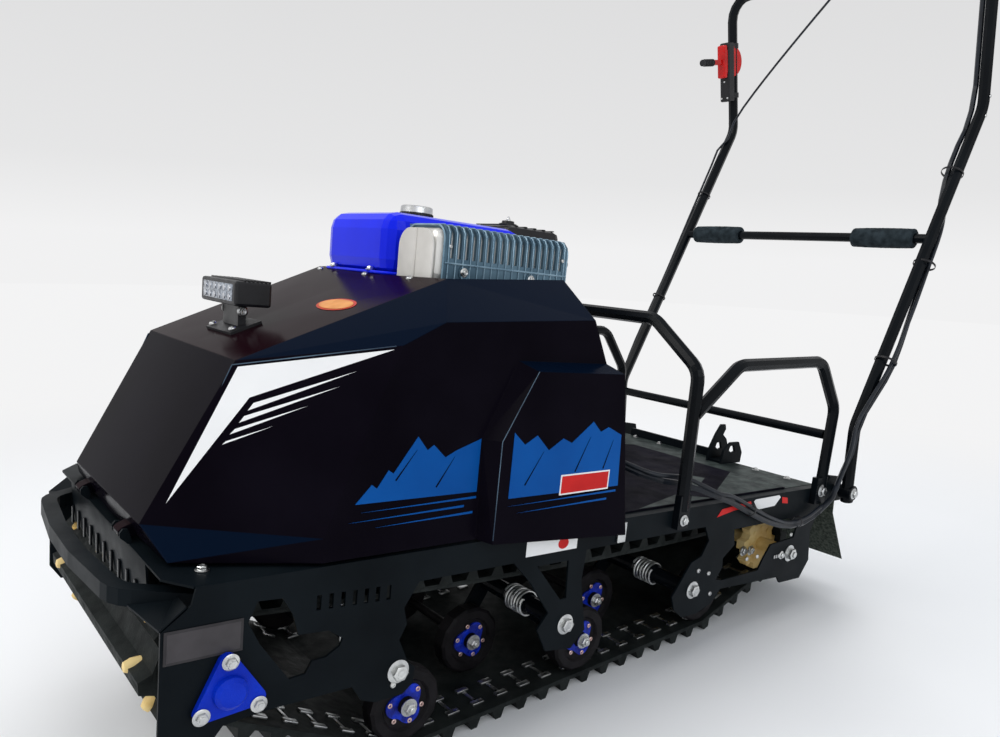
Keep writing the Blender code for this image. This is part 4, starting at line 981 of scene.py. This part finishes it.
def make_lamp():
    """The lamp's lens with its rows of small reflectors, ribs behind and clamp screws."""
    piece("lamp_lens", box((0.5535, -0.059, 0.318), (0.5556, 0.059, 0.3425), 0.0008), LENS, "hood")
    cups = [lathe(CUP, (0.5554, -0.048 + column * 0.0192, 0.324 + row * 0.0124), AHEAD, 20)
            for row in range(2) for column in range(6)]
    group("lamp_cups", cups, CHROME, "hood")
    ribs = row((0.5015, -0.068, 0.3472), (0.5037, 0.068, 0.35), 0.0005, (0.0062, 0.0, 0.0), 7)
    group("lamp_ribs", ribs, BLACK_PLASTIC, "hood")
    screws = []
    for side in (1, -1):
        screws.append(hex_head((0.528, side * 0.0305, 0.303), (0.0, side, 0.0), 0.01))
        screws.append(round_head((0.546, side * 0.04, 0.2776), (0.39, 0.0, 0.92), 0.0055))
    group("lamp_screws", screws, ZINC, "hood")


def rounded_loop(low, high, corner, z):
    """A level rounded rectangle of points."""
    x0, x1 = low[0] + corner, high[0] - corner
    y0, y1 = low[1] + corner, high[1] - corner
    points = []
    for middle, start in (((x1, y1), 0.0), ((x0, y1), 90.0), ((x0, y0), 180.0), ((x1, y0), 270.0)):
        points += arc(middle, corner, start, 90.0)
    return [(x, y, z) for x, y in points]


def arch(x, y0, y1, z0, z1, corner):
    """Points across the machine: up one side, over a rounded top and down the other."""
    left = arc((y0 + corner, z1 - corner), corner, 180.0, -90.0)
    right = arc((y1 - corner, z1 - corner), corner, 90.0, -90.0)
    return [(x, y, z) for y, z in ((y0, z0), *left, *right, (y1, z0))]


NECK = (0.168, -0.08, 0.484)
CAP_RADIUS = 0.0304


def make_tank_details():
    """The tank's rolled seam and bolts, and its ribbed cap."""
    loop = rounded_loop((-0.007, -0.197), (0.292, 0.038), 0.032, 0.3795)
    piece("tank_seam", wire(loop, 0.003, 3, True), TANK_BLUE)
    bolts = [hex_head((x, y, 0.3825), UP, 0.01) for x in (0.2905, -0.0055) for y in (-0.15, -0.02)]
    group("tank_bolts", bolts, ZINC)
    skirt = turned([(0.0, 0.03), (0.0065, 0.0302), (0.0085, 0.0295)], NECK, UP, 48)
    piece("cap_skirt", skirt, BLACK_PLASTIC)
    top = lathe([(0.0085, 0.0), (0.0085, 0.0297), (0.0175, 0.0292), (0.0205, 0.0262),
                 (0.0195, 0.0225), (0.0205, 0.02), (0.0208, 0.0)], NECK, UP, 48)
    ribs = [wire(((x, y, 0.4845), (x, y, 0.4915)), 0.0009, 1)
            for x, y in arc(NECK[:2], CAP_RADIUS, steps=30)[:-1]]
    piece("cap_top", top, ZINC)
    group("cap_ribs", ribs, BLACK_PLASTIC)


GUARD_ARCH = (0.049, 0.156, 0.374, 0.462, 0.022)
GUARD_Y = 0.1562
RIB_PITCH = 0.0145
GUARD_RIBS = 18
RIB_SHAPE = ((0.066, 0.4636), (0.14, 0.4636), (0.1515, 0.46), (0.156, 0.452), (0.1568, 0.412),
             (0.1568, 0.38))
GUARD_CUP = [(0.0, 0.0), (0.0, 0.012), (0.0016, 0.0112), (0.0005, 0.008), (0.0002, 0.0)]
KNOB = [(0.0, 0.0), (0.0, 0.0055), (0.012, 0.0055), (0.0125, 0.0105), (0.015, 0.013),
        (0.023, 0.013), (0.0265, 0.01), (0.0275, 0.0)]


def make_muffler_details():
    """The muffler's folded end, the guard's ribs in a lighter steel as a painted highlight, recessed
    bolts and the choke knob.
    """
    end = slab(arch(0.276, 0.0475, 0.147, 0.374, 0.4555, 0.03), (0.0025, 0.0, 0.0))
    piece("muffler_end", end, MUFFLER_GREY)
    fold = wire(((0.2792, 0.098, 0.376), (0.2792, 0.098, 0.4545)), 0.0016, 2)
    piece("muffler_fold", fold, MUFFLER_GREY)
    # These bars and ribs carry the lighter steel, a painted highlight
    bars = [wire(arch(x, *GUARD_ARCH), 0.0016, 3) for x in (0.264, 0.0015)]
    bars.append(wire([(0.002, 0.1568, 0.404), (0.262, 0.1568, 0.404)], 0.0018, 2))
    for index in range(GUARD_RIBS):
        x = 0.132 - (GUARD_RIBS - 1) * RIB_PITCH / 2 + index * RIB_PITCH
        bars.append(wire([(x, y, z) for y, z in RIB_SHAPE], 0.0011, 2))
    group("guard_ribs_painted_highlight", bars, LIT_RIB_STEEL)
    holes, heads = [], []
    for x in (0.2221, 0.0808):
        holes.append(lathe(GUARD_CUP, (x, GUARD_Y, 0.392), OUT))
        heads.append(hex_head((x, GUARD_Y + 0.0004, 0.392), OUT, 0.009))
    for x in (0.252, 0.012):
        heads.append(round_head((x, GUARD_Y, 0.43), OUT, 0.0035))
    group("guard_cups", holes, GUARD_STEEL)
    group("guard_bolts", heads, ZINC)
    piece("choke_knob", lathe(KNOB, (0.0, 0.12, 0.426), BACK), BLACK_PLASTIC)
    route = smooth_route(((0.0, 0.09, 0.395), (-0.02, 0.09, 0.395), (-0.032, 0.088, 0.372)))
    piece("exhaust_tip", wire(route, 0.0115, 4), MUFFLER_GREY)


FILTER_SCREW = (-0.045, -0.075)


def make_filter_details():
    """The air filter's lid seam, wing knob and ribs."""
    loop = rounded_loop((-0.151, -0.151), (-0.009, -0.029), 0.015, 0.464)
    ribs = row((-0.14, -0.14, 0.4945), (-0.134, -0.04, 0.4965), 0.0008, (0.024, 0.0, 0.0), 6)
    knob = turned([(0.0, 0.018), (0.005, 0.018), (0.0062, 0.013), (0.0105, 0.012)],
                  (*FILTER_SCREW, 0.4945), UP, 32)
    group("filter_trim", [wire(loop, 0.0018, 3, True), knob, *ribs], BLACK_PLASTIC)
    piece("filter_stud", nut((*FILTER_SCREW, 0.505), UP, 0.008), ZINC)


STARTER = (0.125, -0.19, 0.18)
CASE_BOLTS = ((-0.15, 0.04), (0.11, 0.04), (-0.15, 0.2), (0.11, 0.2), (-0.02, 0.03))


def make_engine_details():
    """What shows of the engine behind and beneath: fins, starter cover, pull grip and case."""
    fins = row((-0.0225, -0.12, 0.235), (0.2725, 0.152, 0.2385), 0.0008, (0.0, 0.0, 0.0135), 9)
    group("engine_fins", fins, ENGINE_GREY)
    cover = turned([(0.0, 0.102), (0.014, 0.099), (0.021, 0.085), (0.021, 0.04), (0.025, 0.036)],
                   STARTER, RIGHT, 56)
    piece("starter_cover", cover, TANK_BLUE)
    vents = []
    for index in range(16):
        turn = Matrix.Rotation(2 * math.pi * index / 16, 4, "Y")
        vent = box((0.046, -0.2118, -0.0032), (0.08, -0.2106, 0.0032), 0.0005)
        vents.append(moved(vent, Matrix.Translation((STARTER[0], 0.0, STARTER[2])) @ turn))
    group("starter_vents", vents, BLACK_PLASTIC)
    piece("pull_grip", box((0.168, -0.22, 0.268), (0.216, -0.206, 0.282), 0.004), BLACK_PLASTIC)
    screws = [hex_head((STARTER[0] + 0.094 * math.cos(a), -0.2065, STARTER[2] + 0.094 * math.sin(a)),
                       RIGHT, 0.008) for a in (0.5, 2.1, 3.9, 5.5)]
    group("starter_screws", screws, ZINC)
    case = [hex_head((-0.0205, y, z), BACK, 0.01) for y, z in CASE_BOLTS]
    group("crankcase_bolts", case, ZINC)
    cover = turned([(0.0, 0.07), (0.006, 0.068), (0.008, 0.06)], (-0.0202, -0.02, 0.115), BACK, 48)
    piece("crankcase_cover", cover, ENGINE_GREY)


# Handle and throttle
LEG_FOOT = (-0.748, 0.145)
LEG_BEND = (-1.105, 0.902)
LEG_TOP = (-1.015, 1.25)
HANDLE_Y = 0.35
TUBE_R = 0.0135
PAD_STEPS = 40


def leg_point(z, y=HANDLE_Y, ahead=0.0):
    """A place at a leg's height, offset along X."""
    low, high = (LEG_FOOT, LEG_BEND) if z < LEG_BEND[1] else (LEG_BEND, LEG_TOP)
    return Vector((low[0] + (z - low[1]) / (high[1] - low[1]) * (high[0] - low[0]) + ahead, y, z))


def leg_lean(low, high):
    """The direction of a straight stretch of a leg."""
    return Vector((high[0] - low[0], 0.0, high[1] - low[1])).normalized()


def band(place, along, radius, width, thick=0.0012):
    """A thin band round a tube."""
    half = width / 2
    outer = radius + thick
    profile = [(-half, radius), (-half, outer - 0.0004), (0.0004 - half, outer),
               (half - 0.0004, outer), (half, outer - 0.0004), (half, radius), (-half, radius)]
    return lathe(profile, place, along, 32)


def make_pad(node):
    """A foam sleeve in the place of a plain one: crowned, creased and rolled in at its ends."""
    low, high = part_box(node)
    reach = (high.y - low.y) / 2
    radius = (high.x - low.x) / 2
    random.seed(len(node))
    crown = []
    for step in range(1, PAD_STEPS):
        share = step / PAD_STEPS
        swell = 0.95 + 0.05 * math.sin(math.pi * share)
        crown.append((reach * (2 * share - 1), radius * (swell - 0.018 * random.random())))
    crown = [item for item in crown if abs(item[0]) < reach - 0.003]
    last = [(reach - 0.002, radius * 0.92), (reach, radius * 0.8), (reach, TUBE_R * 0.9)]
    first = [(-height, size) for height, size in reversed(last)]
    mesh = lathe(first + crown + last, centre(node), OUT, 40)
    name = node.replace("crossbar_pad", "foam")
    pad = piece(name, mesh, GRIP_FOAM, "handle")
    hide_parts(node)


def make_handle_details():
    """Pivot sleeves, foam pads, clamps and the throttle's small parts."""
    collar = [(-0.015, 0.0165), (-0.0135, 0.018), (0.0135, 0.018), (0.015, 0.0165)]
    plug = [(0.0, 0.0138), (0.003, 0.0138), (0.0045, 0.012)]
    sleeves = []
    for y in (HANDLE_Y, -HANDLE_Y):
        sleeves.append(turned(collar, (-0.766, y, -0.0075), OUT, 32))
        sleeves.append(turned(plug, (-0.768, y, -0.0255), (-0.117, 0.0, -0.993)))
    group("pivot_sleeves", sleeves, TUBE_BLACK, "handle")
    for node in ("crossbar_pad_left", "crossbar_pad_right"):
        make_pad(node)
    lean = leg_lean(LEG_BEND, LEG_TOP)
    clamps = [band(leg_point(z, -HANDLE_Y), lean, TUBE_R + 0.0002, 0.014, 0.0024)
              for z in (1.0, 1.13)]
    group("throttle_clamps", clamps, BLACK_PLASTIC, "handle")
    face = Matrix.Translation((LEG_BEND[0], -HANDLE_Y, LEG_BEND[1])) @ Matrix.Rotation(
        math.atan2(lean.x, lean.z), 4, "Y")
    dome = turned([(-0.0125, 0.04), (-0.008, 0.044), (0.008, 0.044), (0.0125, 0.04)],
                  (0.0145, 0.0, 0.194), OUT, 48)
    piece("throttle_dome", moved(dome, face), RED_PLASTIC, "handle")
    grooves = [band((0.0981 + 0.007 * step, 0.0, 0.193), AHEAD, 0.0088, 0.003)
               for step in range(6)]
    piece("grip_rings", moved(merged(grooves), face), BLACK_PLASTIC, "handle")
    screws = [round_head((0.042, y, z), AHEAD, 0.003)
              for y, z in ((0.01, 0.095), (-0.01, 0.095), (0.0, 0.14))]
    piece("throttle_screws", moved(merged(screws), face), ZINC, "handle")
    rivets = [rivet(leg_point(z, HANDLE_Y + TUBE_R), OUT, 0.004) for z in (0.88, 0.925)]
    pair("leg_rivets", rivets, ZINC, "handle")


# Cables
LOWER_ROUTE = ((-0.0206, 0.1, 0.12), (-0.045, 0.1, 0.12), (-0.085, 0.16, 0.095),
               (-0.15, 0.27, 0.058), (-0.222, 0.2965, 0.045), (-0.262, 0.316, 0.033),
               (-0.305, 0.328, 0.018), (-0.353, 0.328, 0.002), (-0.482, 0.328, -0.05),
               (-0.572, 0.328, -0.071), (-0.64, 0.328, -0.07), (-0.684, 0.328, -0.056),
               (-0.7, 0.328, -0.047))
BRIDGE_ROUTE = ((-0.69, 0.328, -0.053), (-0.7, 0.328, -0.047), (-0.7062, 0.3375, -0.03),
                (-0.7072, 0.3465, -0.014), (-0.7065, 0.35, 0.001), (-0.7078, 0.3525, 0.012))
CLIMB = ((-0.707, 0.352, 0.007), (-0.707, 0.359, 0.04), (-0.706, 0.371, 0.1),
         (-0.716, 0.371, 0.16), (-0.762, 0.371, 0.218), (-0.822, 0.371, 0.288))
THICK_STRAND = 0.0062
THIN_STRAND = 0.0042
STRAND_ASIDE = 0.0015
STRAND_ABOVE = 0.0102


def drifting(route, sway=0.0028):
    """A neighbouring strand: the route moved aside, drifting a little along its length."""
    points = []
    for index, (x, y, z) in enumerate(route):
        drift = sway * math.sin(index * 1.9)
        points.append((x, y + STRAND_ASIDE + drift * 0.4, z + STRAND_ABOVE + drift))
    return points


def make_bend(name, aside, above, radius):
    """A strand between the chassis and the handle, set in the frame's coordinates on no body."""
    points = [(x, y + aside, z + above * (1 if x > -0.7 else 0.6)) for x, y, z in BRIDGE_ROUTE]
    mesh = moved(wire(smooth_route(points, 0.004), radius, 4), PLACE)
    mesh.materials.append(CABLE_BLACK)
    obj = bpy.data.objects.new(name, mesh)
    bpy.context.scene.collection.objects.link(obj)
    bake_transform(obj)


def make_cable_details():
    """The second strand, the two strands that cross from the chassis to the handle, and the ties."""
    piece("lower_strand", wire(smooth_route(drifting(LOWER_ROUTE)), THIN_STRAND, 3), CABLE_BLACK)
    make_bend("cable_bend", 0.0, 0.0, THICK_STRAND)
    make_bend("strand_bend", STRAND_ASIDE, STRAND_ABOVE, THIN_STRAND)
    climb = [*CLIMB, *(leg_point(z, HANDLE_Y + aside, ahead) for z, aside, ahead in (
        (0.4, 0.019, -0.014), (0.5, 0.011, -0.024), (0.6, 0.006, -0.024), (0.665, -0.008, -0.024)))]
    piece("upper_strand", wire(smooth_route(climb), THIN_STRAND, 3), CABLE_BLACK, "handle")
    low_ties = [band((-0.417, 0.3285, -0.019), (-0.93, 0.0, -0.37), 0.0112, 0.0045),
                band((-0.606, 0.3285, -0.0655), AHEAD, 0.0112, 0.0045)]
    group("lower_ties", low_ties, BLACK_PLASTIC)
    lean = leg_lean(LEG_FOOT, LEG_BEND)
    ties = [band(leg_point(z, HANDLE_Y + aside, ahead), lean, 0.0235, 0.005) for z, aside, ahead in
            ((0.295, 0.008, -0.004), (0.52, 0.003, -0.014), (0.74, -0.01, 0.0))]
    ties += [band(leg_point(z, -HANDLE_Y - 0.003), lean, 0.018, 0.0045) for z in (0.39, 0.7)]
    group("handle_ties", ties, BLACK_PLASTIC, "handle")


# Deck
DECK_BOLTS = ((-0.7, 0.15, 0.01), (-0.7, 0.235, 0.01), (0.655, 0.262, 0.011))
MAT_TOP_Z = 0.0032
DECK_TOP_Z = 0.0003
DUSTY_PATCHES = (
    ((-0.385, 0.2875), (-0.385, 0.262), (-0.596, 0.15), (-0.596, 0.2875)),
    ((-0.12, 0.2875), (-0.278, 0.2435), (-0.335, 0.2875)),
    ((-0.348, 0.236), (-0.336, 0.212), (-0.462, 0.145), (-0.474, 0.169)),
)
DUSTY_END = ((-0.6, 0.29), (-0.6, -0.29), (-0.716, -0.29), (-0.716, 0.29))


def film(outline, height):
    """A thin flat film lying on the deck, from (x, y) corners."""
    return slab([(x, y, height) for x, y in outline], (0.0, 0.0, 0.0004))


def make_deck_details():
    """Deck bolts, dusty films on the deck, the nose's louvres and the flap's clamp bar."""
    heads = [hex_head((x, y, DECK_TOP_Z), UP, across) for x, y, across in DECK_BOLTS]
    pair("deck_bolts", heads, ZINC)
    bare = [film(outline, MAT_TOP_Z) for outline in DUSTY_PATCHES]
    bare += [mirrored(mesh) for mesh in bare]
    group("dusty_deck", [*bare, film(DUSTY_END, DECK_TOP_Z)], DECK_BARE)
    louvres = row((0.7018, -0.2045, -0.07), (0.705, -0.1955, -0.04), 0.001, (0.0, 0.04, 0.0), 11)
    group("nose_louvres", louvres, TUBE_BLACK)
    bar = box((-0.8035, -0.295, -0.048), (-0.801, 0.295, -0.039), 0.0008)
    piece("flap_clamp", bar, FRAME_BLACK)
    clamp = [hex_head((-0.8035, index * 0.125 - 0.25, -0.0435), BACK, 0.009) for index in range(5)]
    group("flap_bolts", clamp, ZINC)
    NODES["mud_flap"].material_slots[0].material = FLAP


CRISP = math.radians(6)
BULGE_FOOT = 0.325
BULGE_TOP = 0.33
LONG_EDGE = 0.08


def crease_hood():
    """Crisp folds on the hood, with its bulge's twisted edge strips shaded as one."""
    mesh = NODES["hood"].data
    mesh.set_sharp_from_angle(angle=CRISP)
    sharp = mesh.attributes["sharp_edge"].data
    for edge in mesh.edges:
        ends = [mesh.vertices[index].co for index in edge.vertices]
        out = [abs((INTO_CHASSIS @ end).y) for end in ends]
        long = (ends[0] - ends[1]).length > LONG_EDGE
        if long and min(out) < BULGE_FOOT and max(out) > BULGE_TOP:
            sharp[edge.index].value = False


def make_details():
    """Every dressed piece."""
    make_plate_fasteners()
    make_hubs()
    make_springs()
    make_belt_details()
    make_sprocket_tips()
    make_flash()
    make_peaks()
    make_labels()
    make_fold_highlights_and_screws()
    make_lamp()
    make_tank_details()
    make_muffler_details()
    make_filter_details()
    make_engine_details()
    make_handle_details()
    make_cable_details()
    make_deck_details()
    crease_hood()


dress_nodes()
make_details()
make_studio()
